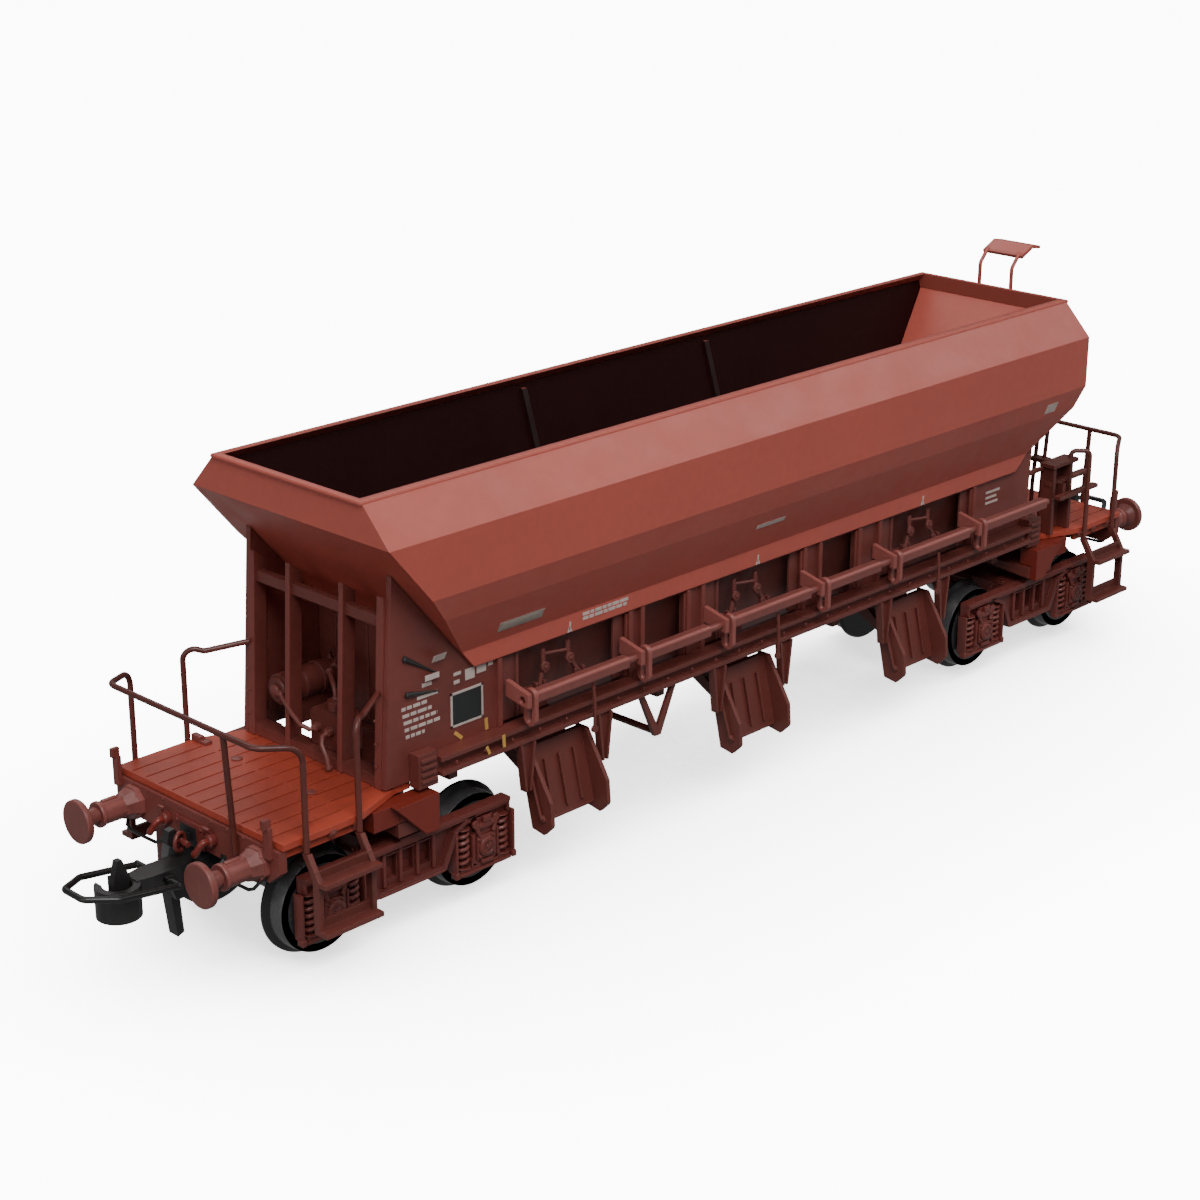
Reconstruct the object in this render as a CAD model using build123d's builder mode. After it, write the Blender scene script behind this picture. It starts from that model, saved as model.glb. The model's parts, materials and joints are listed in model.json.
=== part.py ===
from build123d import *
import os

# Four-axle ballast hopper car in H0 scale (1:87), all sizes in millimetres.
# X runs along the car, the near end is at -X, the right side is at -Y, Z is up.
# Z = 0 is the lowest point of the wheel flanges, X = Y = 0 is the middle of the car.

# --- driving dimensions -------------------------------------------------------------------
BUFFER_FACE_X = 79.9
BUFFER_Y = 10.1
BUFFER_Z = 13.2
HEADSTOCK_X = 72.6
PIVOT_X = 54.6
WHEELBASE = 20.6
FLANGE_RADIUS = 5.9
TREAD_RADIUS = 5.2
AXLE_Z = FLANGE_RADIUS
AXLE_RADIUS = 0.75
BEARING_RADIUS = 0.81
WHEEL_INNER_Y = 7.2
WHEEL_OUTER_Y = 9.9
BOGIE_TOP_Z = 10.4
BOLSTER_TOP_Z = 10.0
PIVOT_RADIUS = 1.5
PIVOT_HOLE_RADIUS = 1.56

RIM_Z = 47.2
RIM_HALF_WIDTH = 11.4
CREASE_1_Z = 43.0
CREASE_2_Z = 36.6
BODY_HALF_WIDTH = 15.4
CREASE_3_Z = 33.7
CREASE_3_HALF_WIDTH = 14.4
SKIRT_TOP_Z = 28.4
SKIRT_BOTTOM_Z = 26.4
SKIRT_HALF_WIDTH = 11.9
WALL = 0.6
LINER_WALL = 0.6
NEAR_END_X = -59.4
NEAR_SLOPE_FOOT_X = -45.4
FAR_END_X = 58.7
FAR_SLOPE_TOP_X = 57.7
FAR_SLOPE_FOOT_X = 49.2
PARTITION_XS = (-16.0, 14.9)

SIDE_FRAME_Y = 11.4
SIDE_FRAME_THICK = 0.7
NEAR_POST_X = -56.4
FAR_POST_X = 53.4
SOLEBAR_TOP_Z = 18.6
SOLEBAR_BOTTOM_Z = 16.5
SOLEBAR_HALF_LENGTH = 51.5
SOLEBAR_Y = 13.4
DECK_TOP_Z = 16.0
DECK_THICK = 0.7
DECK_OUTER_X = 72.2
DECK_INNER_X = 55.9
DECK_HALF_WIDTH = 13.5
DECK_NECK_HALF_WIDTH = 11.1
DECK_NECK_X = 62.4
SILL_BOTTOM_Z = 13.0
SILL_HALF_WIDTH = 3.2

RAIL_RADIUS = 0.32
RAIL_TOP_Z = 25.6
STILE_OUTER_X = 69.7
STILE_INNER_X = 63.0
STILE_Y = 13.9
STEP_Y = 15.5
STEP_UPPER_Z = 12.0
STEP_LOWER_Z = 6.7

SHAFT_Y = 14.4
SHAFT_Z = 22.1
SHAFT_SPANS = ((-39.6, -25.7), (-22.4, -12.6), (-8.7, 4.8), (8.1, 17.8), (21.7, 35.6), (38.9, 52.1))
CHUTE_XS = (-33.6, -3.4, 27.0)
CHUTE_WIDTH = 9.0
SIDE_OPENINGS = ((-41.3, -22.6), (-19.8, -13.2), (-9.9, 7.0), (10.7, 17.2), (22.0, 40.2))

COUPLER_PIVOT_X = 67.0
COUPLER_Z = 10.0
LOOP_HINGE_X = 77.3
PIN_CLEARANCE = 0.06
AXLE_XS = {
    1: -PIVOT_X - WHEELBASE / 2,
    2: -PIVOT_X + WHEELBASE / 2,
    3: PIVOT_X - WHEELBASE / 2,
    4: PIVOT_X + WHEELBASE / 2,
}

os.makedirs("parts", exist_ok=True)


# --- shared profiles and helpers ------------------------------------------------------------
def outline(*points):
    """Closed polygon in the sketch that is open."""
    Polygon(*points, align=None)


def block(x_range, y_range, z_range):
    """Box between two values along each axis, added to the part that is open."""
    centre = [(low + high) / 2 for low, high in (x_range, y_range, z_range)]
    size = [high - low for low, high in (x_range, y_range, z_range)]
    with Locations(tuple(centre)):
        Box(*size)


def wire_rod(points, bend, radius):
    """Round bar along straight runs joined by arcs, added to the part that is open."""
    with BuildLine() as path:
        FilletPolyline(*points, radius=bend)
    with BuildSketch(Plane(origin=path.line @ 0, z_dir=path.line % 0)) as section:
        Circle(radius)
    sweep(sections=section.sketch, path=path.line)


def both_ends(end):
    """Turn a near-end part that is open into the far-end one."""
    if end == "far":
        mirror(about=Plane.YZ, mode=Mode.REPLACE)


def cross_section(inset):
    """Hopper cross-section in the YZ plane; an inset one is the hollow, open above and below."""
    over = 4 * inset
    flare = (BODY_HALF_WIDTH - RIM_HALF_WIDTH) / (RIM_Z - CREASE_1_Z)
    right = (
        (SKIRT_HALF_WIDTH, SKIRT_BOTTOM_Z - over),
        (SKIRT_HALF_WIDTH, SKIRT_TOP_Z),
        (CREASE_3_HALF_WIDTH, CREASE_3_Z),
        (BODY_HALF_WIDTH, CREASE_2_Z),
        (BODY_HALF_WIDTH, CREASE_1_Z),
        (RIM_HALF_WIDTH - flare * over, RIM_Z + over),
    )
    left = tuple((-y, z) for y, z in reversed(right))
    outline(*right, *left)
    if inset:
        offset(amount=-inset, kind=Kind.INTERSECTION, mode=Mode.REPLACE)


def side_outline(inset):
    """Hopper side view in the XZ plane; the near slope starts at crease 1, the far one lower."""
    over = 4 * inset
    near_run = (NEAR_SLOPE_FOOT_X - NEAR_END_X) / (CREASE_1_Z - SKIRT_BOTTOM_Z)
    far_run = (FAR_SLOPE_TOP_X - FAR_SLOPE_FOOT_X) / (CREASE_3_Z - SKIRT_BOTTOM_Z)
    outline(
        (NEAR_SLOPE_FOOT_X + near_run * over, SKIRT_BOTTOM_Z - over),
        (FAR_SLOPE_FOOT_X - far_run * over, SKIRT_BOTTOM_Z - over),
        (FAR_SLOPE_TOP_X, CREASE_3_Z),
        (FAR_END_X, CREASE_2_Z),
        (FAR_END_X, RIM_Z + over),
        (NEAR_END_X, RIM_Z + over),
        (NEAR_END_X, CREASE_1_Z),
    )
    if inset:
        offset(amount=-inset, kind=Kind.INTERSECTION, mode=Mode.REPLACE)


def hopper_form(inset):
    """Solid of the hopper's outside, or of its hollow when inset."""
    with BuildPart() as form:
        with BuildSketch(Plane.YZ.offset(-70)):
            cross_section(inset)
        extrude(amount=140)
        with BuildSketch(Plane.XZ):
            side_outline(inset)
        extrude(amount=30, both=True, mode=Mode.INTERSECT)
    return form.part


# --- hopper ---------------------------------------------------------------------------------
def make_hopper_shell():
    hollow = hopper_form(WALL)
    outside = hopper_form(0)
    with BuildPart() as hopper_shell:
        add(outside)
        add(hollow, mode=Mode.SUBTRACT)
    hopper_shell.part.label = "hopper_shell"
    export_step(hopper_shell.part, "parts/hopper_shell.step")


def liner_form(grow):
    """Funnel inside the hopper, down to its saddle floor, larger all round by grow."""
    with BuildPart() as form:
        with BuildSketch(Plane.YZ.offset(-70)):
            outline((-6.6, 31.2), (0, 33.2), (6.6, 31.2), (13.3, 52), (-13.3, 52))
            if grow:
                offset(amount=grow, kind=Kind.INTERSECTION, mode=Mode.REPLACE)
        extrude(amount=140)
        with BuildSketch(Plane.XZ):
            outline((-47.4, 30.2), (-65.7, 52), (65.9, 52), (43.4, 30.2))
            if grow:
                offset(amount=grow, kind=Kind.INTERSECTION, mode=Mode.REPLACE)
        extrude(amount=30, both=True, mode=Mode.INTERSECT)
    return form.part


def make_hopper_liner():
    """Thin funnel that runs out into the shell a little below the rim."""
    with BuildPart() as hopper_liner:
        add(liner_form(LINER_WALL))
        add(hopper_form(WALL + 0.02), mode=Mode.INTERSECT)
        add(liner_form(0), mode=Mode.SUBTRACT)
    hopper_liner.part.label = "hopper_liner"
    export_step(hopper_liner.part, "parts/hopper_liner.step")


def make_partitions():
    """Low walls across the funnel, with a narrow rib up each of its sides."""
    funnel = liner_form(-0.02)
    for name, x in zip(("partition_near", "partition_far"), PARTITION_XS):
        with BuildPart() as partition:
            add(funnel)
            with BuildSketch(Plane.YZ.offset(x - 0.35)):
                outline(
                    (-12, 31),
                    (12, 31),
                    (12, 45.7),
                    (10.85, 45.7),
                    (8.7, 39.0),
                    (7.4, 38.2),
                    (-7.4, 38.2),
                    (-8.7, 39.0),
                    (-10.85, 45.7),
                    (-12, 45.7),
                )
            extrude(amount=0.7, mode=Mode.INTERSECT)
        partition.part.label = name
        export_step(partition.part, f"parts/{name}.step")


def make_far_slope_sheet():
    """Sheet that lies on the far end of the funnel and makes its slope."""
    with BuildPart() as slope_sheet_far:
        with BuildSketch(Plane.XZ):
            outline((58.4, 45.6), (58.4, 44.75), (44.0, 30.8), (43.2, 30.8))
        extrude(amount=12, both=True)
        add(liner_form(-0.02), mode=Mode.INTERSECT)
        add(hopper_form(WALL + 0.02), mode=Mode.INTERSECT)
    slope_sheet_far.part.label = "slope_sheet_far"
    export_step(slope_sheet_far.part, "parts/slope_sheet_far.step")


def make_rim_step():
    """Small step on the far rim, a bent plate on two hooked legs."""
    with BuildPart() as rim_step_far:
        for y in (3.0, -2.0):
            wire_rod(((60.0, y, 44.0), (60.0, y, 49.6), (61.6, y, 51.4)), 0.9, 0.26)
            block((FAR_END_X, 60.2), (y - 0.3, y + 0.3), (44.0, 44.9))
        with BuildSketch(Plane.XZ.offset(-3.6)):
            outline(
                (61.2, 51.1),
                (63.6, 52.2),
                (65.4, 51.9),
                (65.4, 51.5),
                (63.7, 51.75),
                (61.4, 50.7),
            )
        extrude(amount=6.2)
    rim_step_far.part.label = "rim_step_far"
    export_step(rim_step_far.part, "parts/rim_step_far.step")


# --- lower body -----------------------------------------------------------------------------
def trough_side(grow):
    """Side view of the trough under the hopper, larger all round by grow."""
    low = 17.2 - grow
    outline((-44.6 - grow, 26.3), (48.4 + grow, 26.3), (44.0 + grow, low), (-41.0 - grow, low))


def trough_section(grow):
    """Cross-section of the same trough."""
    low = 17.2 - grow
    outline((-9.8 - grow, 26.3), (9.8 + grow, 26.3), (6.6 + grow, low), (-6.6 - grow, low))


def make_lower_body():
    """Closed trough under the hopper, between the side frames; it holds the weight."""
    with BuildPart() as lower_body:
        with BuildSketch(Plane.YZ.offset(-60)):
            trough_section(0.7)
        extrude(amount=120)
        with BuildSketch(Plane.XZ):
            trough_side(0.7)
        extrude(amount=12, both=True, mode=Mode.INTERSECT)
        with BuildSketch(Plane.YZ.offset(-41.0)):
            trough_section(0)
        extrude(amount=85, mode=Mode.SUBTRACT)
    lower_body.part.label = "lower_body"
    export_step(lower_body.part, "parts/lower_body.step")


def make_ballast_weight():
    with BuildPart() as ballast_weight:
        block((-38, 38), (-5.5, 5.5), (17.25, 20.2))
        chamfer(ballast_weight.edges().filter_by(Axis.Z), length=0.8)
    ballast_weight.part.label = "ballast_weight"
    export_step(ballast_weight.part, "parts/ballast_weight.step")


def make_side_frame(side):
    """Sheet with window openings between hopper skirt and solebar, with stiffeners at its posts."""
    near_run = (NEAR_SLOPE_FOOT_X - NEAR_END_X) / (CREASE_1_Z - SKIRT_BOTTOM_Z)
    far_run = (FAR_SLOPE_TOP_X - FAR_SLOPE_FOOT_X) / (CREASE_3_Z - SKIRT_BOTTOM_Z)
    gap = 0.05
    near_top = SKIRT_BOTTOM_Z + (NEAR_SLOPE_FOOT_X - NEAR_POST_X - 0.6) / near_run - gap
    far_top = SKIRT_BOTTOM_Z + (FAR_POST_X - FAR_SLOPE_FOOT_X) / far_run - gap
    foot_z = SKIRT_BOTTOM_Z - gap
    with BuildPart() as side_frame:
        with BuildSketch(Plane.XZ.offset(SIDE_FRAME_Y - SIDE_FRAME_THICK)):
            outline(
                (NEAR_POST_X - 1.0, SOLEBAR_TOP_Z - 2.4),
                (NEAR_POST_X + 0.6, near_top),
                (NEAR_SLOPE_FOOT_X, foot_z),
                (FAR_SLOPE_FOOT_X, foot_z),
                (FAR_POST_X, far_top),
                (FAR_POST_X - 0.6, SOLEBAR_TOP_Z - 2.4),
            )
            for left, right in SIDE_OPENINGS:
                with Locations(((left + right) / 2, 21.9)):
                    Rectangle(right - left, 8.2, mode=Mode.SUBTRACT)
        extrude(amount=SIDE_FRAME_THICK)
        for left, right in SIDE_OPENINGS:
            for x in (left - 0.45, right + 0.45):
                block(
                    (x - 0.3, x + 0.3),
                    (-SIDE_FRAME_Y - 0.45, -SIDE_FRAME_Y + 0.1),
                    (SOLEBAR_TOP_Z + 0.03, foot_z - 0.1),
                )
        if side == "left":
            mirror(about=Plane.XZ, mode=Mode.REPLACE)
    side_frame.part.label = f"side_frame_{side}"
    export_step(side_frame.part, f"parts/side_frame_{side}.step")


def make_end_frames():
    """Posts, ribs and cross beams that carry each end of the hopper."""
    near_slope = (CREASE_1_Z - SKIRT_BOTTOM_Z) / (NEAR_SLOPE_FOOT_X - NEAR_END_X)
    inner_y = SIDE_FRAME_Y - SIDE_FRAME_THICK - 0.02
    ends = (("end_frame_near", NEAR_POST_X, 36.4, 1), ("end_frame_far", FAR_POST_X, 29.8, -1))
    for name, post_x, top_z, sign in ends:
        lean = 1.0 if sign > 0 else 0.5
        drop = 1.0 if sign > 0 else 1.5
        with BuildPart() as end_frame:
            for y in (-inner_y + 0.5, -4.2, 4.2, inner_y - 0.5):
                width = 1.0 if abs(y) > 5 else 0.7
                with BuildSketch(Plane.XZ.offset(-y - width / 2)):
                    outline(
                        (post_x - sign * lean, DECK_TOP_Z + 0.05),
                        (post_x + sign * (1.7 - lean), DECK_TOP_Z + 0.05),
                        (post_x + sign * 1.7, top_z - drop * near_slope),
                        (post_x + sign * 0.1, top_z),
                    )
                extrude(amount=width)
            beam_x = sorted((post_x + sign * 0.3, post_x + sign * 1.2))
            foot_x = sorted((post_x - sign * 0.8, post_x + sign * 1.0))
            block(beam_x, (-inner_y, inner_y), (top_z - 3.4, top_z - 2.2))
            block(foot_x, (-inner_y, inner_y), (DECK_TOP_Z + 0.05, DECK_TOP_Z + 1.2))
        end_frame.part.label = name
        export_step(end_frame.part, f"parts/{name}.step")


def make_solebars():
    """Channel along the side under the window openings, flanges turned outward."""
    with BuildPart() as solebar:
        with BuildSketch(Plane.YZ.offset(-SOLEBAR_HALF_LENGTH)):
            outline(
                (-SOLEBAR_Y, SOLEBAR_BOTTOM_Z),
                (-SOLEBAR_Y, SOLEBAR_BOTTOM_Z + 0.5),
                (-SOLEBAR_Y + 0.9, SOLEBAR_BOTTOM_Z + 0.5),
                (-SOLEBAR_Y + 0.9, SOLEBAR_TOP_Z - 0.5),
                (-SOLEBAR_Y, SOLEBAR_TOP_Z - 0.5),
                (-SOLEBAR_Y, SOLEBAR_TOP_Z),
                (-SIDE_FRAME_Y - 0.02, SOLEBAR_TOP_Z),
                (-SIDE_FRAME_Y - 0.02, SOLEBAR_BOTTOM_Z),
            )
        extrude(amount=2 * SOLEBAR_HALF_LENGTH)
        mirror(about=Plane.XZ)
    solebar.part.label = "solebars"
    export_step(solebar.part, "parts/solebars.step")


# --- underframe -----------------------------------------------------------------------------
def make_center_sill():
    """Box beam from headstock to headstock, with cross bearers that carry the side frames."""
    with BuildPart() as center_sill:
        sill_end = HEADSTOCK_X - 1.0
        block((-sill_end, sill_end), (-SILL_HALF_WIDTH, SILL_HALF_WIDTH), (SILL_BOTTOM_Z, 15.2))
        for x in (-47.5, -16.0, 15.0, 47.5):
            block((x - 0.6, x + 0.6), (-SIDE_FRAME_Y + 0.75, SIDE_FRAME_Y - 0.75), (14.2, 16.2))
        fillet(center_sill.edges().filter_by(Axis.X).group_by(Axis.Z)[0], radius=0.4)
    center_sill.part.label = "center_sill"
    export_step(center_sill.part, "parts/center_sill.step")


def make_body_bolsters():
    """Body bolsters over the bogies: cross beams that thin out to the sides, bored for the pivots."""
    with BuildPart() as body_bolsters:
        for pivot_x in (-PIVOT_X, PIVOT_X):
            with BuildSketch(Plane.YZ.offset(pivot_x - 2.6)):
                outline(
                    (-13.0, 11.4),
                    (-3.4, 12.2),
                    (3.4, 12.2),
                    (13.0, 11.4),
                    (13.0, 12.9),
                    (-13.0, 12.9),
                )
            extrude(amount=5.2)
            with BuildSketch(Plane.XY.offset(BOLSTER_TOP_Z + 0.08)):
                with Locations((pivot_x, 0)):
                    Circle(3.2)
            extrude(amount=2.4)
            with Locations((pivot_x, 0, 12.9)):
                Hole(radius=PIVOT_RADIUS)
    body_bolsters.part.label = "body_bolsters"
    export_step(body_bolsters.part, "parts/body_bolsters.step")


def make_pivot_screws():
    """Screws from below that hold each bogie, their shanks are its swivel pins."""
    with BuildPart() as pivot_screws:
        for x in (-PIVOT_X, PIVOT_X):
            with BuildSketch(Plane.XY.offset(5.6)):
                with Locations((x, 0)):
                    Circle(2.5)
            extrude(amount=1.2)
            with BuildSketch(Plane.XY.offset(6.8)):
                with Locations((x, 0)):
                    Circle(PIVOT_RADIUS)
            extrude(amount=6.1)
            with BuildSketch(Plane.XY.offset(5.6)):
                with Locations((x, 0)):
                    Rectangle(3.6, 0.5)
            extrude(amount=0.5, mode=Mode.SUBTRACT)
    pivot_screws.part.label = "pivot_screws"
    export_step(pivot_screws.part, "parts/pivot_screws.step")


def make_jacking_pads():
    """Wedge brackets that stand out beside the deck over each bogie."""
    with BuildPart() as jacking_pads:
        for sign_x in (-1, 1):
            for sign_y in (-1, 1):
                with BuildSketch(Plane.XZ.offset(-sign_y * 11.3)):
                    outline(
                        (sign_x * 60.4, 15.2),
                        (sign_x * 52.4, 15.28),
                        (sign_x * 52.4, 13.0),
                        (sign_x * 60.4, 13.0),
                    )
                extrude(amount=-sign_y * 1.7)
                with BuildSketch(Plane.XZ.offset(-sign_y * 13.02)):
                    outline(
                        (sign_x * 58.2, 15.2),
                        (sign_x * 52.4, 15.28),
                        (sign_x * 52.4, 11.2),
                        (sign_x * 54.2, 11.2),
                    )
                extrude(amount=-sign_y * 0.9)
                block(
                    sorted((sign_x * 52.4, sign_x * 57.0)),
                    sorted((sign_y * 12.9, sign_y * 13.1)),
                    (13.2, 15.2),
                )
    jacking_pads.part.label = "jacking_pads"
    export_step(jacking_pads.part, "parts/jacking_pads.step")


def make_headstocks():
    with BuildPart() as headstock:
        with BuildSketch(Plane.YZ.offset(-HEADSTOCK_X)):
            outline(
                (-13.3, 15.2),
                (-13.3, 12.9),
                (-11.6, 11.5),
                (11.6, 11.5),
                (13.3, 12.9),
                (13.3, 15.2),
            )
        extrude(amount=0.95)
        mirror(about=Plane.YZ)
    headstock.part.label = "headstocks"
    export_step(headstock.part, "parts/headstocks.step")


def make_platform(end):
    """Deck board with plank grooves along the car, narrowed at the neck, and side fascias under it."""
    board_count = 12
    pitch = 2 * DECK_HALF_WIDTH / board_count
    with BuildPart() as platform:
        with BuildSketch(Plane.XY.offset(DECK_TOP_Z - DECK_THICK)):
            outline(
                (-DECK_OUTER_X, -DECK_HALF_WIDTH),
                (-DECK_NECK_X, -DECK_HALF_WIDTH),
                (-DECK_INNER_X, -DECK_NECK_HALF_WIDTH),
                (-DECK_INNER_X + 2.0, -DECK_NECK_HALF_WIDTH),
                (-DECK_INNER_X + 2.0, DECK_NECK_HALF_WIDTH),
                (-DECK_INNER_X, DECK_NECK_HALF_WIDTH),
                (-DECK_NECK_X, DECK_HALF_WIDTH),
                (-DECK_OUTER_X, DECK_HALF_WIDTH),
            )
        extrude(amount=DECK_THICK)
        with BuildSketch(Plane.XY.offset(DECK_TOP_Z)):
            with GridLocations(1, pitch, 1, board_count - 1):
                with Locations((-(DECK_OUTER_X + DECK_NECK_X) / 2 - 0.2, 0)):
                    Rectangle(DECK_OUTER_X - DECK_NECK_X - 1.0, 0.2)
            with GridLocations(1, pitch, 1, board_count - 3):
                with Locations((-(DECK_NECK_X + DECK_INNER_X) / 2 - 0.3, 0)):
                    Rectangle(DECK_NECK_X - DECK_INNER_X, 0.2)
        extrude(amount=-0.22, mode=Mode.SUBTRACT)
        for side in (-1, 1):
            fascia_y = sorted((side * (DECK_HALF_WIDTH - 0.6), side * (DECK_HALF_WIDTH - 1.2)))
            block((-HEADSTOCK_X + 1.0, -DECK_NECK_X), fascia_y, (14.2, DECK_TOP_Z - DECK_THICK + 0.02))
        both_ends(end)
    platform.part.label = f"platform_{end}"
    export_step(platform.part, f"parts/platform_{end}.step")


# --- rails, stiles and steps ----------------------------------------------------------------
def make_end_rails():
    """Handrail across the end with two posts on the headstock and a post at each corner."""
    with BuildPart() as end_rail:
        wire_rod(
            (
                (-STILE_OUTER_X, -STILE_Y, DECK_TOP_Z - 1.5),
                (-STILE_OUTER_X, -STILE_Y, RAIL_TOP_Z),
                (-HEADSTOCK_X - 1.1, -STILE_Y + 2.2, RAIL_TOP_Z + 0.4),
                (-HEADSTOCK_X - 1.1, STILE_Y - 2.2, RAIL_TOP_Z + 0.4),
                (-STILE_OUTER_X, STILE_Y, RAIL_TOP_Z),
                (-STILE_OUTER_X, STILE_Y, DECK_TOP_Z - 1.5),
            ),
            1.7,
            RAIL_RADIUS,
        )
        for y in (-6.9, 7.1):
            wire_rod(
                (
                    (-HEADSTOCK_X - 1.1, y, RAIL_TOP_Z + 0.4),
                    (-HEADSTOCK_X - 0.5, y, DECK_TOP_Z),
                    (-HEADSTOCK_X - 0.35, y, 13.2),
                ),
                3.0,
                RAIL_RADIUS,
            )
        mirror(about=Plane.YZ)
    end_rail.part.label = "end_rails"
    export_step(end_rail.part, "parts/end_rails.step")


def make_side_rails():
    """Handrails from the hopper posts to the inner stiles; the brake stand has its own loop."""
    near_post = NEAR_POST_X - 0.65
    far_post = FAR_POST_X + 0.6
    with BuildPart() as side_rails:
        for sign, side, post_x in ((-1, -1, near_post), (-1, 1, near_post), (1, 1, far_post)):
            stile_x = sign * STILE_INNER_X
            wire_rod(
                (
                    (stile_x, side * STILE_Y, DECK_TOP_Z - 1.5),
                    (stile_x, side * STILE_Y, 26.6),
                    (stile_x - sign * 1.8, side * (STILE_Y - 1.3), 25.8),
                    (post_x, side * (STILE_Y - 3.6), 26.4),
                ),
                1.2,
                RAIL_RADIUS,
            )
    side_rails.part.label = "side_rails"
    export_step(side_rails.part, "parts/side_rails.step")


def make_steps():
    """Two-tread boarding steps under the stiles, one unit on each side of the platform."""
    with BuildPart() as steps:
        for x in (-STILE_OUTER_X, -STILE_INNER_X):
            with BuildSketch(Plane.YZ.offset(x - 0.3)):
                outline(
                    (-STILE_Y - 0.5, DECK_TOP_Z - 1.55),
                    (-STILE_Y + 0.4, DECK_TOP_Z - 1.55),
                    (-STEP_Y + 0.5, STEP_UPPER_Z),
                    (-STEP_Y + 0.5, STEP_LOWER_Z - 0.3),
                    (-STEP_Y - 0.4, STEP_LOWER_Z - 0.3),
                    (-STEP_Y - 0.4, STEP_UPPER_Z),
                )
            extrude(amount=0.6)
        for z in (STEP_UPPER_Z, STEP_LOWER_Z):
            block(
                (-STILE_OUTER_X - 0.3, -STILE_INNER_X + 0.3),
                (-STEP_Y - 1.4, -STEP_Y + 0.5),
                (z - 0.5, z),
            )
            block(
                (-STILE_OUTER_X - 0.3, -STILE_INNER_X + 0.3),
                (-STEP_Y + 0.1, -STEP_Y + 0.5),
                (z - 0.1, z + 0.9),
            )
        mirror(about=Plane.XZ)
        mirror(about=Plane.YZ)
    steps.part.label = "steps"
    export_step(steps.part, "parts/steps.step")


def make_lamp_irons():
    with BuildPart() as lamp_irons:
        for sign_x in (-1, 1):
            for y in (-12.0, 12.6):
                face = sign_x * HEADSTOCK_X
                block(sorted((face, face + sign_x * 0.5)), (y - 0.45, y + 0.45), (14.3, 17.6))
                block(sorted((face, face + sign_x * 0.9)), (y - 0.25, y + 0.25), (17.5, 18.5))
    lamp_irons.part.label = "lamp_irons"
    export_step(lamp_irons.part, "parts/lamp_irons.step")


def make_brake_stand():
    """Hand-brake stand on the far platform: a channel column with slats, lever rods and a hand loop."""
    with BuildPart() as brake_stand:
        for x in (57.6, 61.4):
            block((x - 0.3, x + 0.3), (-12.4, -10.4), (DECK_TOP_Z + 0.03, 25.2))
        block((57.4, 61.6), (-10.8, -10.3), (DECK_TOP_Z + 0.03, 25.6))
        block((57.0, 62.6), (-12.6, -10.3), (25.1, 25.6))
        for y, z in ((-13.2, 21.0), (-11.6, 22.6)):
            block((57.2, 66.0), (y - 0.5, y + 0.5), (z, z + 0.5))
        wire_rod(
            (
                (63.2, -STILE_Y, DECK_TOP_Z - 1.5),
                (63.2, -STILE_Y, 26.6),
                (61.6, -12.0, 26.6),
                (61.6, -12.0, 25.5),
            ),
            0.7,
            RAIL_RADIUS,
        )
        block((FAR_POST_X + 0.6, 57.4), (-10.9, -10.4), (24.6, 25.1))
        block((58.9, 59.5), (-12.9, -10.5), (20.4, 22.8))
        for y in (-9.4, -8.0):
            wire_rod(((59.0, y, DECK_TOP_Z + 0.03), (59.0, y, 22.0), (59.8, y, 30.0)), 8.0, 0.28)
        block((58.6, 60.2), (-9.9, -7.5), (25.0, 25.5))
        block((58.6, 59.4), (-10.4, -7.7), (16.4, 17.0))
    brake_stand.part.label = "brake_stand"
    export_step(brake_stand.part, "parts/brake_stand.step")


# --- discharge gear -------------------------------------------------------------------------
def make_discharge_shafts():
    """Shaft along the side with a thicker sleeve over each span between its levers."""
    with BuildPart() as shaft:
        with BuildSketch(Plane.YZ.offset(SHAFT_SPANS[0][0] - 0.9)):
            with Locations((-SHAFT_Y, SHAFT_Z)):
                Circle(0.42)
        extrude(amount=SHAFT_SPANS[-1][1] - SHAFT_SPANS[0][0] + 1.8)
        for left, right in SHAFT_SPANS:
            with BuildSketch(Plane.YZ.offset(left)):
                with Locations((-SHAFT_Y, SHAFT_Z)):
                    RectangleRounded(1.35, 1.35, 0.35)
            extrude(amount=right - left)
        mirror(about=Plane.XZ)
    shaft.part.label = "discharge_shafts"
    export_step(shaft.part, "parts/discharge_shafts.step")


def make_shaft_levers():
    """Slotted levers on the shafts, one before each sleeve."""
    with BuildPart() as levers:
        for left, _ in SHAFT_SPANS:
            with BuildSketch(Plane.YZ.offset(left - 0.62)):
                with Locations((-SHAFT_Y - 0.1, SHAFT_Z - 1.0)):
                    SlotOverall(4.2, 1.7, rotation=90)
                with Locations((-SHAFT_Y - 0.1, SHAFT_Z - 1.8)):
                    SlotOverall(1.9, 0.7, rotation=90, mode=Mode.SUBTRACT)
                with Locations((-SHAFT_Y, SHAFT_Z)):
                    Circle(0.43, mode=Mode.SUBTRACT)
            extrude(amount=0.55)
        mirror(about=Plane.XZ)
    levers.part.label = "shaft_levers"
    export_step(levers.part, "parts/shaft_levers.step")


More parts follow.
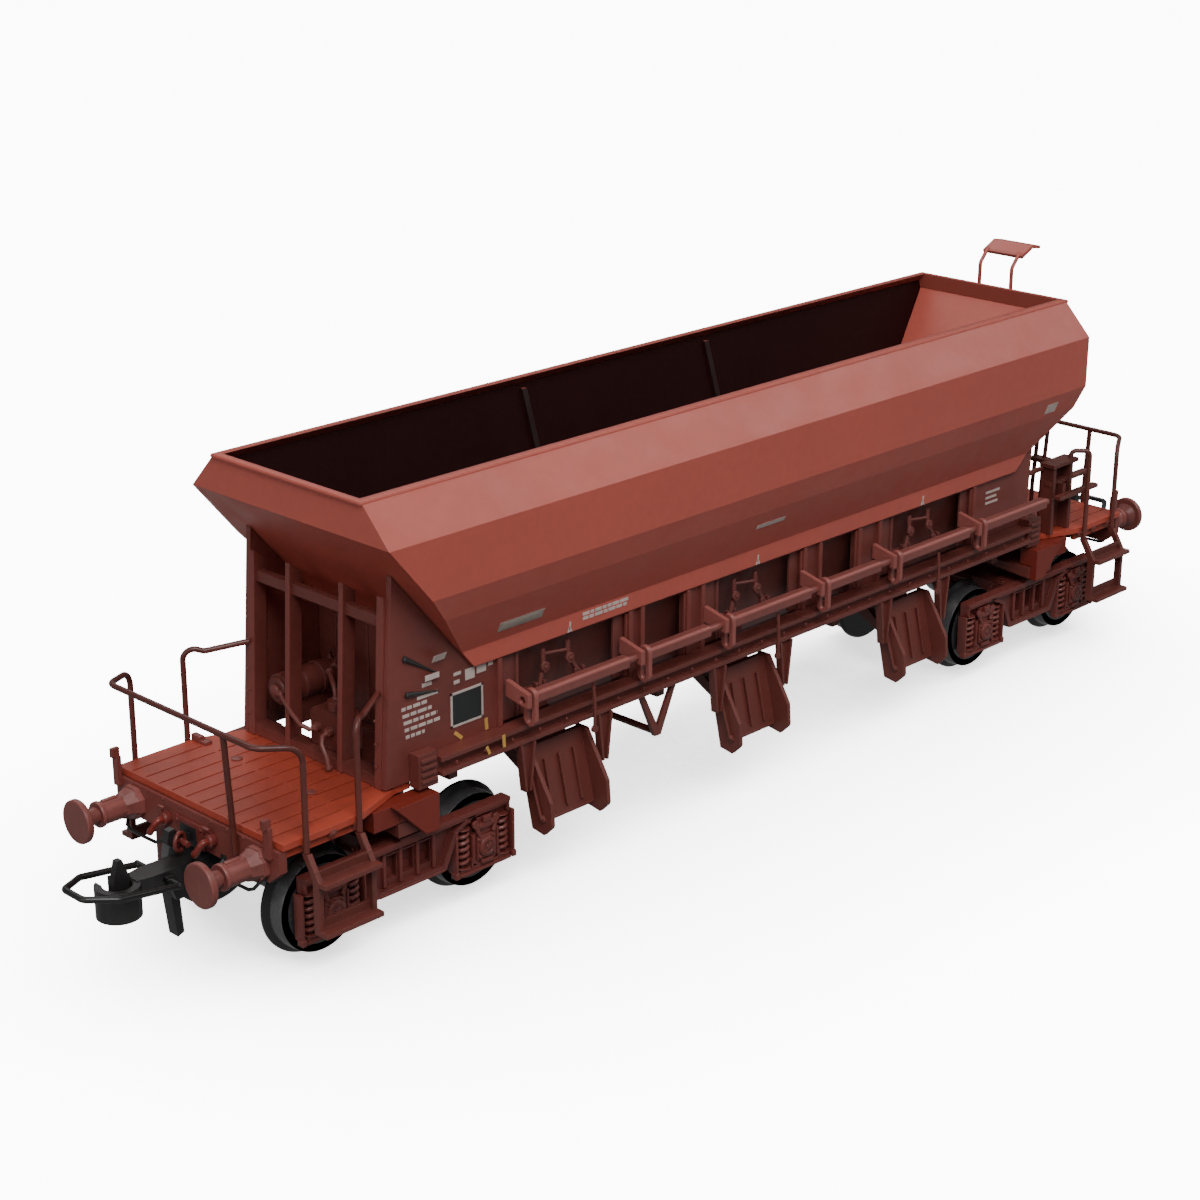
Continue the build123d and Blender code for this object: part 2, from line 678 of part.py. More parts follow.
def make_shaft_bearings():
    """Arms from the side frame that carry the shaft at its thin stretches."""
    with BuildPart() as bearings:
        for left, _ in SHAFT_SPANS:
            x = left - 1.35
            if left == SHAFT_SPANS[0][0]:
                x = left - 0.9 - 0.3
            with BuildSketch(Plane.YZ.offset(x - 0.3)):
                outline(
                    (-SHAFT_Y - 0.8, SHAFT_Z - 0.8),
                    (-SHAFT_Y - 0.8, SHAFT_Z + 0.8),
                    (-SIDE_FRAME_Y - 0.47, SHAFT_Z + 1.6),
                    (-SIDE_FRAME_Y - 0.47, SHAFT_Z - 0.2),
                )
                with Locations((-SHAFT_Y, SHAFT_Z)):
                    Circle(0.43, mode=Mode.SUBTRACT)
            extrude(amount=0.6)
        mirror(about=Plane.XZ)
    bearings.part.label = "shaft_bearings"
    export_step(bearings.part, "parts/shaft_bearings.step")


def make_chutes():
    """Ballast chutes under the solebar: a leaning plate between two rounded side leaves."""
    with BuildPart() as chutes:
        for x in CHUTE_XS:
            with BuildSketch(Plane.YZ.offset(x - CHUTE_WIDTH / 2)):
                outline((-10.9, 14.9), (-11.5, 14.9), (-13.5, 6.6), (-12.9, 6.6))
            extrude(amount=CHUTE_WIDTH)
            for leaf_x in (x - CHUTE_WIDTH / 2, x + CHUTE_WIDTH / 2 - 0.5):
                with BuildSketch(Plane.YZ.offset(leaf_x)) as leaf:
                    outline(
                        (-10.6, 14.9),
                        (-12.2, 14.9),
                        (-15.4, 9.6),
                        (-15.6, 6.9),
                        (-14.4, 5.7),
                        (-12.6, 6.0),
                    )
                    fillet(leaf.vertices().group_by(Axis.X)[0], radius=0.7)
                extrude(amount=0.5)
        mirror(about=Plane.XZ)
    chutes.part.label = "chutes"
    export_step(chutes.part, "parts/chutes.step")


def make_chute_hangers():
    """Tapered channel posts from the solebar down beside each chute."""
    with BuildPart() as hangers:
        for chute_x in CHUTE_XS:
            for x in (chute_x - CHUTE_WIDTH / 2 - 1.3, chute_x + CHUTE_WIDTH / 2 + 1.3):
                plane = Plane.XZ.offset(SOLEBAR_Y - 0.75)
                with BuildSketch(plane):
                    outline(
                        (x - 1.1, 16.45),
                        (x + 1.1, 16.45),
                        (x + 0.45, 11.0),
                        (x - 0.45, 11.0),
                    )
                extrude(amount=0.35)
                for edge in (-1, 1):
                    with BuildSketch(plane):
                        outline(
                            (x + edge * 1.1, 16.45),
                            (x + edge * 0.8, 16.45),
                            (x + edge * 0.15, 11.0),
                            (x + edge * 0.45, 11.0),
                        )
                    extrude(amount=0.9)
        mirror(about=Plane.XZ)
    hangers.part.label = "chute_hangers"
    export_step(hangers.part, "parts/chute_hangers.step")


def make_discharge_boxes():
    """Ridge-shaped boxes beside the sill that lead the ballast from the trough to the chutes."""
    with BuildPart() as discharge_boxes:
        for x in CHUTE_XS:
            with BuildSketch(Plane.YZ.offset(x - CHUTE_WIDTH / 2 + 0.55)):
                for side in (-1, 1):
                    outline(
                        (side * 10.85, 11.4),
                        (side * 10.85, 12.6),
                        (side * 6.0, 16.45),
                        (side * 3.3, 16.45),
                        (side * 3.3, 15.4),
                    )
            extrude(amount=CHUTE_WIDTH - 1.1)
    discharge_boxes.part.label = "discharge_boxes"
    export_step(discharge_boxes.part, "parts/discharge_boxes.step")


# --- brake gear on the body -----------------------------------------------------------------
def make_brake_rigging():
    """Vee brackets below the solebars with the cross shaft and the pull rods along the middle."""
    with BuildPart() as rigging:
        for side in (-1, 1):
            with BuildSketch(Plane.XZ.offset(-side * 12.2)):
                outline(
                    (-21.6, 16.4),
                    (-20.9, 16.4),
                    (-18.6, 11.8),
                    (-16.3, 16.4),
                    (-15.6, 16.4),
                    (-18.1, 10.8),
                    (-19.1, 10.8),
                )
            extrude(amount=-side * 0.5)
        with BuildSketch(Plane.XZ.offset(-12.7)):
            with Locations((-18.6, 11.15)):
                Circle(0.4)
        extrude(amount=25.4)
        for y, left, right in ((-1.4, -36.0, -17.4), (1.4, -19.8, 34.0)):
            with BuildSketch(Plane.YZ.offset(left)):
                with Locations((y, 11.15)):
                    Circle(0.32)
            extrude(amount=right - left)
        block((-20.4, -16.8), (-2.0, 2.0), (10.8, 11.5))
    rigging.part.label = "brake_rigging"
    export_step(rigging.part, "parts/brake_rigging.step")


def make_brake_cylinder():
    with BuildPart() as brake_cylinder:
        with BuildSketch(Plane.YZ.offset(-56.0)):
            with Locations((6.9, 21.6)):
                Circle(1.7)
        extrude(amount=7.5)
        with BuildSketch(Plane.YZ.offset(-56.4)):
            with Locations((6.9, 21.6)):
                Circle(1.4)
        extrude(amount=0.5)
        fillet(brake_cylinder.edges().filter_by(GeomType.CIRCLE).group_by(Axis.X)[0], radius=0.2)
        block((-54.0, -50.0), (6.2, 7.6), (17.3, 20.2))
    brake_cylinder.part.label = "brake_cylinder"
    export_step(brake_cylinder.part, "parts/brake_cylinder.step")


def make_control_valve():
    with BuildPart() as control_valve:
        block((-56.2, -53.4), (-3.3, 1.6), (17.3, 21.4))
        chamfer(control_valve.edges().filter_by(Axis.X).group_by(Axis.Z)[-1], length=0.5)
        with BuildSketch(Plane.YZ.offset(-56.7)):
            with Locations((-1.6, 19.4), (0.4, 19.4)):
                Circle(0.55)
        extrude(amount=0.55)
        with BuildSketch(Plane.XY.offset(21.3)):
            with Locations((-54.8, -0.9)):
                Circle(0.9)
        extrude(amount=1.0)
    control_valve.part.label = "control_valve"
    export_step(control_valve.part, "parts/control_valve.step")


def make_louvre_boxes():
    """Small boxes with slanted louvres beside the side frames over each bogie."""
    with BuildPart() as louvre_boxes:
        for sign_x in (-1, 1):
            for sign_y in (-1, 1):
                outer = sign_y * (SOLEBAR_Y - 0.5)
                block(sorted((sign_x * 54.2, sign_x * 51.6)), sorted((sign_y * 11.45, outer)), (15.7, 19.4))
                for step in range(4):
                    z = 16.3 + 0.75 * step
                    slat_x = sorted((sign_x * 53.9, sign_x * 51.9))
                    block(slat_x, sorted((outer, outer + sign_y * 0.25)), (z, z + 0.35))
    louvre_boxes.part.label = "louvre_boxes"
    export_step(louvre_boxes.part, "parts/louvre_boxes.step")


# --- buffers, draw gear, hoses --------------------------------------------------------------
def make_buffer_sleeves():
    with BuildPart() as sleeves:
        for sign in (-1, 1):
            for y in (-BUFFER_Y, BUFFER_Y):
                face = Plane(origin=(sign * HEADSTOCK_X, y, BUFFER_Z), z_dir=(sign, 0, 0))
                with BuildSketch(face):
                    RegularPolygon(1.85, 8, rotation=22.5)
                extrude(amount=0.6)
                with BuildSketch(face.offset(0.6)):
                    RegularPolygon(1.7, 8, rotation=22.5)
                with BuildSketch(face.offset(1.9)):
                    RegularPolygon(1.35, 8, rotation=22.5)
                loft()
                with BuildSketch(face.offset(1.9)):
                    Circle(1.25)
                extrude(amount=2.9)
                with BuildSketch(face.offset(4.8)):
                    Circle(0.9)
                extrude(amount=-3.4, mode=Mode.SUBTRACT)
    sleeves.part.label = "buffer_sleeves"
    export_step(sleeves.part, "parts/buffer_sleeves.step")


def make_buffer_heads():
    with BuildPart() as heads:
        for sign in (-1, 1):
            for y in (-BUFFER_Y, BUFFER_Y):
                plane = Plane(origin=(sign * HEADSTOCK_X, y, BUFFER_Z), z_dir=(sign, 0, 0))
                reach = BUFFER_FACE_X - HEADSTOCK_X
                with BuildSketch(plane.offset(1.45)):
                    Circle(0.88)
                extrude(amount=reach - 1.9)
                with BuildSketch(plane.offset(reach - 0.75)):
                    Circle(2.35)
                extrude(amount=0.75)
                with BuildSketch(plane.offset(reach - 1.35)):
                    Circle(0.9)
                with BuildSketch(plane.offset(reach - 0.75)):
                    Circle(1.6)
                loft()
        rim_edges = heads.edges().filter_by(GeomType.CIRCLE).filter_by(lambda edge: edge.radius > 2.3)
        fillet(rim_edges, radius=0.2)
    heads.part.label = "buffer_heads"
    export_step(heads.part, "parts/buffer_heads.step")


def make_draw_hooks():
    with BuildPart() as draw_hooks:
        for sign in (-1, 1):
            with BuildSketch(Plane.XZ.offset(-0.45)):
                outline(
                    (sign * HEADSTOCK_X, 12.9),
                    (sign * (HEADSTOCK_X + 1.6), 13.1),
                    (sign * (HEADSTOCK_X + 2.2), 14.0),
                    (sign * (HEADSTOCK_X + 2.9), 13.9),
                    (sign * (HEADSTOCK_X + 3.2), 12.6),
                    (sign * (HEADSTOCK_X + 2.3), 11.9),
                    (sign * HEADSTOCK_X, 12.1),
                )
            extrude(amount=-0.9)
            block(
                sorted((sign * HEADSTOCK_X, sign * (HEADSTOCK_X + 0.45))),
                (-0.6, 2.0),
                (11.7, 13.7),
            )
    draw_hooks.part.label = "draw_hooks"
    export_step(draw_hooks.part, "parts/draw_hooks.step")


def make_brake_hoses():
    """Moulded brake hoses, two at each end, that hang in a short bow in front of the headstock."""
    with BuildPart() as brake_hoses:
        for sign in (-1, 1):
            for y in (-3.0, 4.4):
                face = sign * HEADSTOCK_X
                wire_rod(
                    (
                        (face + sign * 0.05, y, 13.3),
                        (face + sign * 1.5, y, 13.3),
                        (face + sign * 2.0, y - sign * 0.6, 12.0),
                        (face + sign * 1.1, y - sign * 1.8, 11.5),
                    ),
                    0.55,
                    0.36,
                )
    brake_hoses.part.label = "brake_hoses"
    export_step(brake_hoses.part, "parts/brake_hoses.step")


# --- couplers -------------------------------------------------------------------------------
def make_coupler_mounts():
    """Bracket under the sill with the pin that a coupler swings on."""
    with BuildPart() as mount:
        block((-COUPLER_PIVOT_X - 3.6, -COUPLER_PIVOT_X + 2.2), (-2.2, 2.2), (10.95, SILL_BOTTOM_Z - 0.02))
        with BuildSketch(Plane.XY.offset(9.0)):
            with Locations((-COUPLER_PIVOT_X, 0)):
                Circle(0.8)
        extrude(amount=2.0)
        with BuildSketch(Plane.XY.offset(8.2)):
            with Locations((-COUPLER_PIVOT_X, 0)):
                Circle(1.3)
        extrude(amount=0.8)
        mirror(about=Plane.YZ)
    mount.part.label = "coupler_mounts"
    export_step(mount.part, "parts/coupler_mounts.step")


def make_coupler(end):
    """Coupler arm with its eye, the cup-shaped hook at its head and the upright horn."""
    low = COUPLER_Z - 0.85
    high = COUPLER_Z + 0.85
    with BuildPart() as coupler:
        with BuildSketch(Plane.XY.offset(low)):
            with Locations((-COUPLER_PIVOT_X, 0)):
                Circle(1.9)
            outline(
                (-COUPLER_PIVOT_X, -1.2),
                (-73.5, -1.0),
                (-75.6, -1.35),
                (-78.8, -1.35),
                (-80.6, -1.0),
                (-80.6, 1.0),
                (-78.8, 1.35),
                (-75.6, 1.35),
                (-73.5, 1.0),
                (-COUPLER_PIVOT_X, 1.2),
            )
            with Locations((-COUPLER_PIVOT_X, 0)):
                Circle(0.8 + PIN_CLEARANCE, mode=Mode.SUBTRACT)
        extrude(amount=high - low)
        with BuildSketch(Plane.XY.offset(7.4)):
            with Locations((-82.2, 0)):
                Circle(2.3)
        extrude(amount=3.3)
        with BuildSketch(Plane.XY.offset(8.2)):
            with Locations((-82.2, 0)):
                Circle(1.5)
            with Locations((-82.6, 2.0)):
                Rectangle(1.6, 2.4)
        extrude(amount=3.0, mode=Mode.SUBTRACT)
        with BuildSketch(Plane.XZ.offset(0.35)):
            outline((-83.6, 8.0), (-81.2, 8.0), (-80.9, 11.2), (-81.7, 13.3), (-82.3, 13.3), (-82.9, 11.0))
        extrude(amount=-0.7)
        with BuildSketch(Plane.XZ.offset(3)):
            with Locations((-LOOP_HINGE_X, COUPLER_Z)):
                Circle(0.35 + PIN_CLEARANCE)
        extrude(amount=-6, mode=Mode.SUBTRACT)
        both_ends(end)
    coupler.part.label = f"coupler_{end}"
    export_step(coupler.part, f"parts/coupler_{end}.step")


def make_coupler_loop(end):
    """Lifting loop: a wire bow hinged in the coupler, with the uncoupling tongue below."""
    arm_y = 3.4
    with BuildPart() as loop:
        wire_rod(
            (
                (-LOOP_HINGE_X, arm_y, COUPLER_Z),
                (-84.2, arm_y, COUPLER_Z + 1.0),
                (-87.2, 1.6, COUPLER_Z + 1.4),
                (-87.2, -1.6, COUPLER_Z + 1.4),
                (-84.2, -arm_y, COUPLER_Z + 1.0),
                (-LOOP_HINGE_X, -arm_y, COUPLER_Z),
            ),
            0.8,
            0.35,
        )
        with BuildSketch(Plane.XZ.offset(-arm_y - 0.35)):
            with Locations((-LOOP_HINGE_X, COUPLER_Z)):
                Circle(0.35)
        extrude(amount=2 * arm_y + 0.7)
        for y in (-1.75, 1.75):
            with BuildSketch(Plane.XZ.offset(-y - 0.25)):
                outline(
                    (-LOOP_HINGE_X - 0.5, COUPLER_Z + 0.5),
                    (-LOOP_HINGE_X + 0.5, COUPLER_Z + 0.5),
                    (-75.6, 8.6),
                    (-75.6, 7.7),
                    (-76.7, 7.7),
                )
            extrude(amount=0.5)
        block((-76.7, -75.6), (-2.0, 2.0), (7.7, 8.6))
        with BuildSketch(Plane.XZ.offset(0.75)):
            outline((-76.7, 8.5), (-75.6, 8.5), (-75.2, 3.2), (-76.0, 2.9))
        extrude(amount=-1.5)
        both_ends(end)
    loop.part.label = f"coupler_loop_{end}"
    export_step(loop.part, f"parts/coupler_loop_{end}.step")


# --- bogies ---------------------------------------------------------------------------------
def bogie_x(end):
    return -PIVOT_X if end == "near" else PIVOT_X


def make_bogie_frame(end):
    """Bogie frame: cross beam bored for the pivot between two plated fish-belly side frames."""
    x = bogie_x(end)
    web_y = 10.55
    with BuildPart() as bogie_frame:
        with BuildSketch(Plane.XZ.offset(web_y)):
            outline(
                (x - 13.9, BOGIE_TOP_Z),
                (x - 13.9, 8.6),
                (x - 6.55, 8.6),
                (x - 4.6, 4.9),
                (x + 4.6, 4.9),
                (x + 6.55, 8.6),
                (x + 13.9, 8.6),
                (x + 13.9, BOGIE_TOP_Z),
            )
            with Locations((x - 2.3, 7.6), (x, 7.6), (x + 2.3, 7.6)):
                Rectangle(1.5, 2.6, mode=Mode.SUBTRACT)
        extrude(amount=0.7)
        block((x - 13.9, x + 13.9), (-12.0, -web_y), (BOGIE_TOP_Z - 0.5, BOGIE_TOP_Z))
        for sign in (-1, 1):
            with BuildSketch(Plane.XZ.offset(web_y)):
                outline(
                    (x, 4.9),
                    (x, 5.5),
                    (x + sign * 4.3, 5.5),
                    (x + sign * 5.9, 8.8),
                    (x + sign * 8.3, 10.0),
                    (x + sign * 9.4, 10.0),
                    (x + sign * 6.5, 8.6),
                    (x + sign * 4.7, 4.9),
                )
            extrude(amount=1.4)
            axle_x = x + sign * WHEELBASE / 2
            with BuildSketch(Plane.XZ.offset(web_y)):
                with Locations((axle_x, AXLE_Z)):
                    RectangleRounded(3.3, 4.0, 0.8)
                with Locations((axle_x, 8.0)):
                    Rectangle(2.2, 2.6)
                with Locations((axle_x, 3.6)):
                    Rectangle(7.0, 0.7)
            extrude(amount=1.3)
            with BuildSketch(Plane.XZ.offset(web_y)):
                with Locations((axle_x, AXLE_Z)):
                    Circle(BEARING_RADIUS)
            extrude(amount=1.15, mode=Mode.SUBTRACT)
        mirror(about=Plane.XZ)
        block((x - 3.4, x + 3.4), (-10.6, 10.6), (7.4, BOLSTER_TOP_Z))
        with BuildSketch(Plane.XY.offset(7.4)):
            with Locations((x, 0)):
                Circle(PIVOT_HOLE_RADIUS)
        extrude(amount=3.0, mode=Mode.SUBTRACT)
        for side in (-1, 1):
            block((x - 2.2, x + 2.2), sorted((side * 8.0, side * 10.0)), (BOLSTER_TOP_Z, BOLSTER_TOP_Z + 0.3))
    bogie_frame.part.label = f"bogie_frame_{end}"
    export_step(bogie_frame.part, f"parts/bogie_frame_{end}.step")


def make_axlebox_covers(end):
    x = bogie_x(end)
    with BuildPart() as covers:
        for axle_x in (x - WHEELBASE / 2, x + WHEELBASE / 2):
            for side in (-1, 1):
                face = Plane(origin=(axle_x, side * 11.86, AXLE_Z), z_dir=(0, side, 0))
                with BuildSketch(face):
                    Circle(1.45)
                extrude(amount=0.45)
                with BuildSketch(face.offset(0.45)):
                    Circle(1.1)
                extrude(amount=0.25)
    covers.part.label = f"axlebox_covers_{end}"
    export_step(covers.part, f"parts/axlebox_covers_{end}.step")


def make_coil_springs(end):
    """Springs beside each axlebox, a stack of rounded turns between seat and frame."""
    x = bogie_x(end)
    turns = 5
    low = 3.96
    high = 8.59
    pitch = (high - low) / turns
    with BuildPart() as springs:
        for axle_x in (x - WHEELBASE / 2, x + WHEELBASE / 2):
            for offset_x in (-2.75, 2.75):
                for y in (-11.2, 11.2):
                    with Locations((axle_x + offset_x, y, (low + high) / 2)):
                        Cylinder(0.62, high - low)
                    for turn in range(turns):
                        with Locations((axle_x + offset_x, y, low + pitch * (turn + 0.5))):
                            Cylinder(0.9, 0.42)
    springs.part.label = f"coil_springs_{end}"
    export_step(springs.part, f"parts/coil_springs_{end}.step")


def make_bogie_brakes(end):
    """Brake beams with a shoe facing each wheel tread, on both sides of the bogie cross beam."""
    x = bogie_x(end)
    with BuildPart() as brakes:
        for sign in (-1, 1):
            block(sorted((x + sign * 3.45, x + sign * 3.95)), (-9.8, 9.8), (7.5, 8.3))
            for side in (-1, 1):
                with BuildSketch(Plane.XZ.offset(-side * 8.95 + 0.6)):
                    outline(
                        (x + sign * 3.5, 8.0),
                        (x + sign * 4.95, 8.0),
                        (x + sign * 4.8, 5.9),
                        (x + sign * 4.95, 4.2),
                        (x + sign * 4.2, 4.2),
                        (x + sign * 3.5, 6.5),
                    )
                extrude(amount=-1.2)
    brakes.part.label = f"bogie_brakes_{end}"
    export_step(brakes.part, f"parts/bogie_brakes_{end}.step")


def make_axle(number):
    x = AXLE_XS[number]
    with BuildPart() as axle:
        with BuildSketch(Plane.XZ.offset(-11.55)):
            with Locations((x, AXLE_Z)):
                Circle(AXLE_RADIUS)
        extrude(amount=23.1)
        chamfer(axle.edges().filter_by(GeomType.CIRCLE), length=0.3)
        with BuildSketch(Plane.XZ.offset(-WHEEL_INNER_Y)):
            with Locations((x, AXLE_Z)):
                Circle(1.15)
        extrude(amount=2 * WHEEL_INNER_Y)
    axle.part.label = f"axle_{number}"
    export_step(axle.part, f"parts/axle_{number}.step")


def make_wheels(number):
    """Pair of wheels: flange, coned tread, recessed web and hub, bored for the axle."""
    x = AXLE_XS[number]
    with BuildPart() as wheels:
        with BuildSketch(Plane(origin=(x, 0, AXLE_Z), x_dir=(0, -1, 0), z_dir=(1, 0, 0))):
            outline(
                (WHEEL_INNER_Y + 0.02, AXLE_RADIUS),
                (WHEEL_INNER_Y + 0.02, FLANGE_RADIUS - 0.25),
                (WHEEL_INNER_Y + 0.3, FLANGE_RADIUS),
                (WHEEL_INNER_Y + 0.6, FLANGE_RADIUS),
                (WHEEL_INNER_Y + 1.0, TREAD_RADIUS + 0.1),
                (WHEEL_OUTER_Y, TREAD_RADIUS - 0.05),
                (WHEEL_OUTER_Y, TREAD_RADIUS - 0.9),
                (WHEEL_OUTER_Y - 0.9, TREAD_RADIUS - 1.1),
                (WHEEL_OUTER_Y - 0.9, 1.7),
                (WHEEL_OUTER_Y - 0.1, 1.4),
                (WHEEL_OUTER_Y - 0.1, AXLE_RADIUS),
            )
        revolve(axis=Axis((x, 0, AXLE_Z), (0, 1, 0)))
        mirror(about=Plane.XZ)
    wheels.part.label = f"wheels_{number}"
    export_step(wheels.part, f"parts/wheels_{number}.step")


def main():
    make_hopper_shell()
    make_partitions()
    make_hopper_liner()
    make_far_slope_sheet()
    make_rim_step()
    make_lower_body()
    make_ballast_weight()
    make_end_frames()
    make_solebars()
    make_center_sill()
    make_body_bolsters()
    make_pivot_screws()
    make_jacking_pads()
    make_headstocks()
    make_end_rails()
    make_side_rails()
    make_steps()
    make_lamp_irons()
    make_brake_stand()
    make_discharge_shafts()
    make_shaft_levers()
    make_shaft_bearings()
    make_chutes()
    make_chute_hangers()
    make_discharge_boxes()
    make_brake_rigging()
    make_brake_cylinder()
    make_control_valve()
    make_louvre_boxes()
    make_buffer_sleeves()
    make_buffer_heads()
    make_draw_hooks()
    make_brake_hoses()
    make_coupler_mounts()
    for side in ("right", "left"):
        make_side_frame(side)
    for end in ("near", "far"):
        make_platform(end)
        make_coupler(end)
        make_coupler_loop(end)
        make_bogie_frame(end)
        make_axlebox_covers(end)
        make_coil_springs(end)
        make_bogie_brakes(end)
    for number in AXLE_XS:
        make_axle(number)
        make_wheels(number)


main()
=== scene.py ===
import json
import math
import random

import bmesh
import bpy
from mathutils import Matrix, Vector


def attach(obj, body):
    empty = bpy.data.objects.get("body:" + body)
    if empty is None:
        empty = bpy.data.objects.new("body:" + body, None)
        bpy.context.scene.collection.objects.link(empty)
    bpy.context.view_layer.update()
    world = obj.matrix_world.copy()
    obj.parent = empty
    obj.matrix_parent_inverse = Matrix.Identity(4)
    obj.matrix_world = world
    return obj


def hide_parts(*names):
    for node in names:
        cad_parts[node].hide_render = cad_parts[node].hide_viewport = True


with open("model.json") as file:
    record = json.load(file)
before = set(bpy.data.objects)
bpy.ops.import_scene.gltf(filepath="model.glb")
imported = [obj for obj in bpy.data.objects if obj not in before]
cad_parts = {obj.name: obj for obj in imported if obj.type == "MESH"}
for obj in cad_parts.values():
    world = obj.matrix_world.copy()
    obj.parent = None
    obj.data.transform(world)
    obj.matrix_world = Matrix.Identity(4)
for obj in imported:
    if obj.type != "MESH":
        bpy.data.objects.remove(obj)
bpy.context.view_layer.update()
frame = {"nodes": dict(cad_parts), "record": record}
nodes = frame["nodes"]

MM = 0.001

# driving places and sizes of the car, in millimetres
GRAIN_DEPTH = 0.04 * MM
SIDES = (-1, 1)
PIVOT_X = 54.6
HALF_BASE = 10.3
BOGIES = (("near", -PIVOT_X), ("far", PIVOT_X))
AXLE_Z = 5.9
BEAM_FACE = 11.95
SIDE_FACE = 11.4
SOLEBAR_FACE = 13.4
SIDE_OPENINGS = ((-41.3, -22.6), (-9.9, 7.0), (22.0, 40.2))
CHUTES = (-33.6, -3.4, 27.0)
HEADSTOCK_X = 72.6
BUFFER_Y, BUFFER_Z = 10.1, 13.2
CYLINDER_Y, CYLINDER_Z = 6.9, 21.6

# camera of the matched view: angles in degrees, lengths in millimetres
AZIMUTH, ELEVATION, ROLL = -45.785, 20.149, 0.103
AIM = (0, 0, 20)
DISTANCE = 290.95
SHIFT_RIGHT, SHIFT_UP = -10.35, -1.21
FOCAL_LENGTH, SENSOR_WIDTH = 73.56, 36


# ---------------------------------------------------------------- node materials
def shader_material(name):
    """New material with one Principled shader, and its tree to add nodes to."""
    material = bpy.data.materials.new(name)
    material.use_nodes = True
    tree = material.node_tree
    tree.nodes.clear()
    out = tree.nodes.new("ShaderNodeOutputMaterial")
    shader = tree.nodes.new("ShaderNodeBsdfPrincipled")
    tree.links.new(shader.outputs[0], out.inputs[0])
    return material, tree, shader


def noise(tree, source, scale, detail=3.0, rough=0.5):
    node = tree.nodes.new("ShaderNodeTexNoise")
    node.inputs["Scale"].default_value = scale
    node.inputs["Detail"].default_value = detail
    node.inputs["Roughness"].default_value = rough
    tree.links.new(source, node.inputs["Vector"])
    return node.outputs["Fac"]


def ramp(tree, source, stops):
    node = tree.nodes.new("ShaderNodeValToRGB")
    node.color_ramp.elements[0].position = stops[0][0]
    node.color_ramp.elements[0].color = (*stops[0][1], 1)
    node.color_ramp.elements[1].position = stops[-1][0]
    node.color_ramp.elements[1].color = (*stops[-1][1], 1)
    for position, colour in stops[1:-1]:
        element = node.color_ramp.elements.new(position)
        element.color = (*colour, 1)
    tree.links.new(source, node.inputs[0])
    return node.outputs[0]


def map_range(tree, source, low, high, to_low, to_high):
    node = tree.nodes.new("ShaderNodeMapRange")
    node.inputs["From Min"].default_value = low
    node.inputs["From Max"].default_value = high
    node.inputs["To Min"].default_value = to_low
    node.inputs["To Max"].default_value = to_high
    tree.links.new(source, node.inputs["Value"])
    return node.outputs["Result"]


def mix(tree, factor, a, b, blend="MIX"):
    node = tree.nodes.new("ShaderNodeMix")
    node.data_type = "RGBA"
    node.blend_type = blend
    for key, value in (("Factor", factor), ("A", a), ("B", b)):
        named = [s for s in node.inputs if s.name == key]
        socket = [s for s in named if s.type == "RGBA" or key == "Factor"][0]
        if isinstance(value, bpy.types.NodeSocket):
            tree.links.new(value, socket)
        else:
            socket.default_value = value if key == "Factor" else (*value, 1)
    return [s for s in node.outputs if s.type == "RGBA"][0]


def scaled(colour, factor):
    """Colour made lighter or darker, no channel above 1."""
    return tuple(min(1.0, c * factor) for c in colour)


def plastic(
    name, colour, rough=0.42, wear=0.45, specular=0.5, round_edge=0.12, painted_shade_mask=None, shade=0.09,
):
    """Moulded, sprayed plastic: cloudy tone, faint grain, soft edges, lighter where handled, and
    painted shade on the faces a mask picks.
    """
    material, tree, shader = shader_material(name)
    place = tree.nodes.new("ShaderNodeTexCoord").outputs["Object"]
    cloud = noise(tree, place, 60, 4, 0.6)
    stops = ((0.3, scaled(colour, 0.86)), (0.5, colour), (0.72, scaled(colour, 1.14)))
    tone = ramp(tree, cloud, stops)
    speck_stops = ((0.35, (0.93, 0.92, 0.91)), (0.65, (1.05, 1.03, 1.0)))
    speck = ramp(tree, noise(tree, place, 900, 2, 0.6), speck_stops)
    tone = mix(tree, 1.0, tone, speck, "MULTIPLY")
    geometry = tree.nodes.new("ShaderNodeNewGeometry")
    edge = map_range(tree, geometry.outputs["Pointiness"], 0.5, 0.58, 0.0, wear)
    tone = mix(tree, edge, tone, scaled(colour, 1.9))
    # painted shade: faces under the mask take the colour scaled down by shade
    if painted_shade_mask:
        tone = mix(tree, painted_shade_mask(tree, geometry), tone, scaled(colour, shade))
    tree.links.new(tone, shader.inputs["Base Color"])
    gloss = map_range(tree, noise(tree, place, 240, 3, 0.6), 0.3, 0.7, rough - 0.06, rough + 0.08)
    tree.links.new(gloss, shader.inputs["Roughness"])
    shader.inputs["Specular IOR Level"].default_value = specular
    soft = tree.nodes.new("ShaderNodeBevel")
    soft.samples = 4
    soft.inputs["Radius"].default_value = round_edge * MM
    dent = tree.nodes.new("ShaderNodeBump")
    dent.inputs["Strength"].default_value = 0.1
    dent.inputs["Distance"].default_value = GRAIN_DEPTH
    tree.links.new(noise(tree, place, 2600, 2, 0.5), dent.inputs["Height"])
    tree.links.new(soft.outputs[0], dent.inputs["Normal"])
    tree.links.new(dent.outputs[0], shader.inputs["Normal"])
    return material


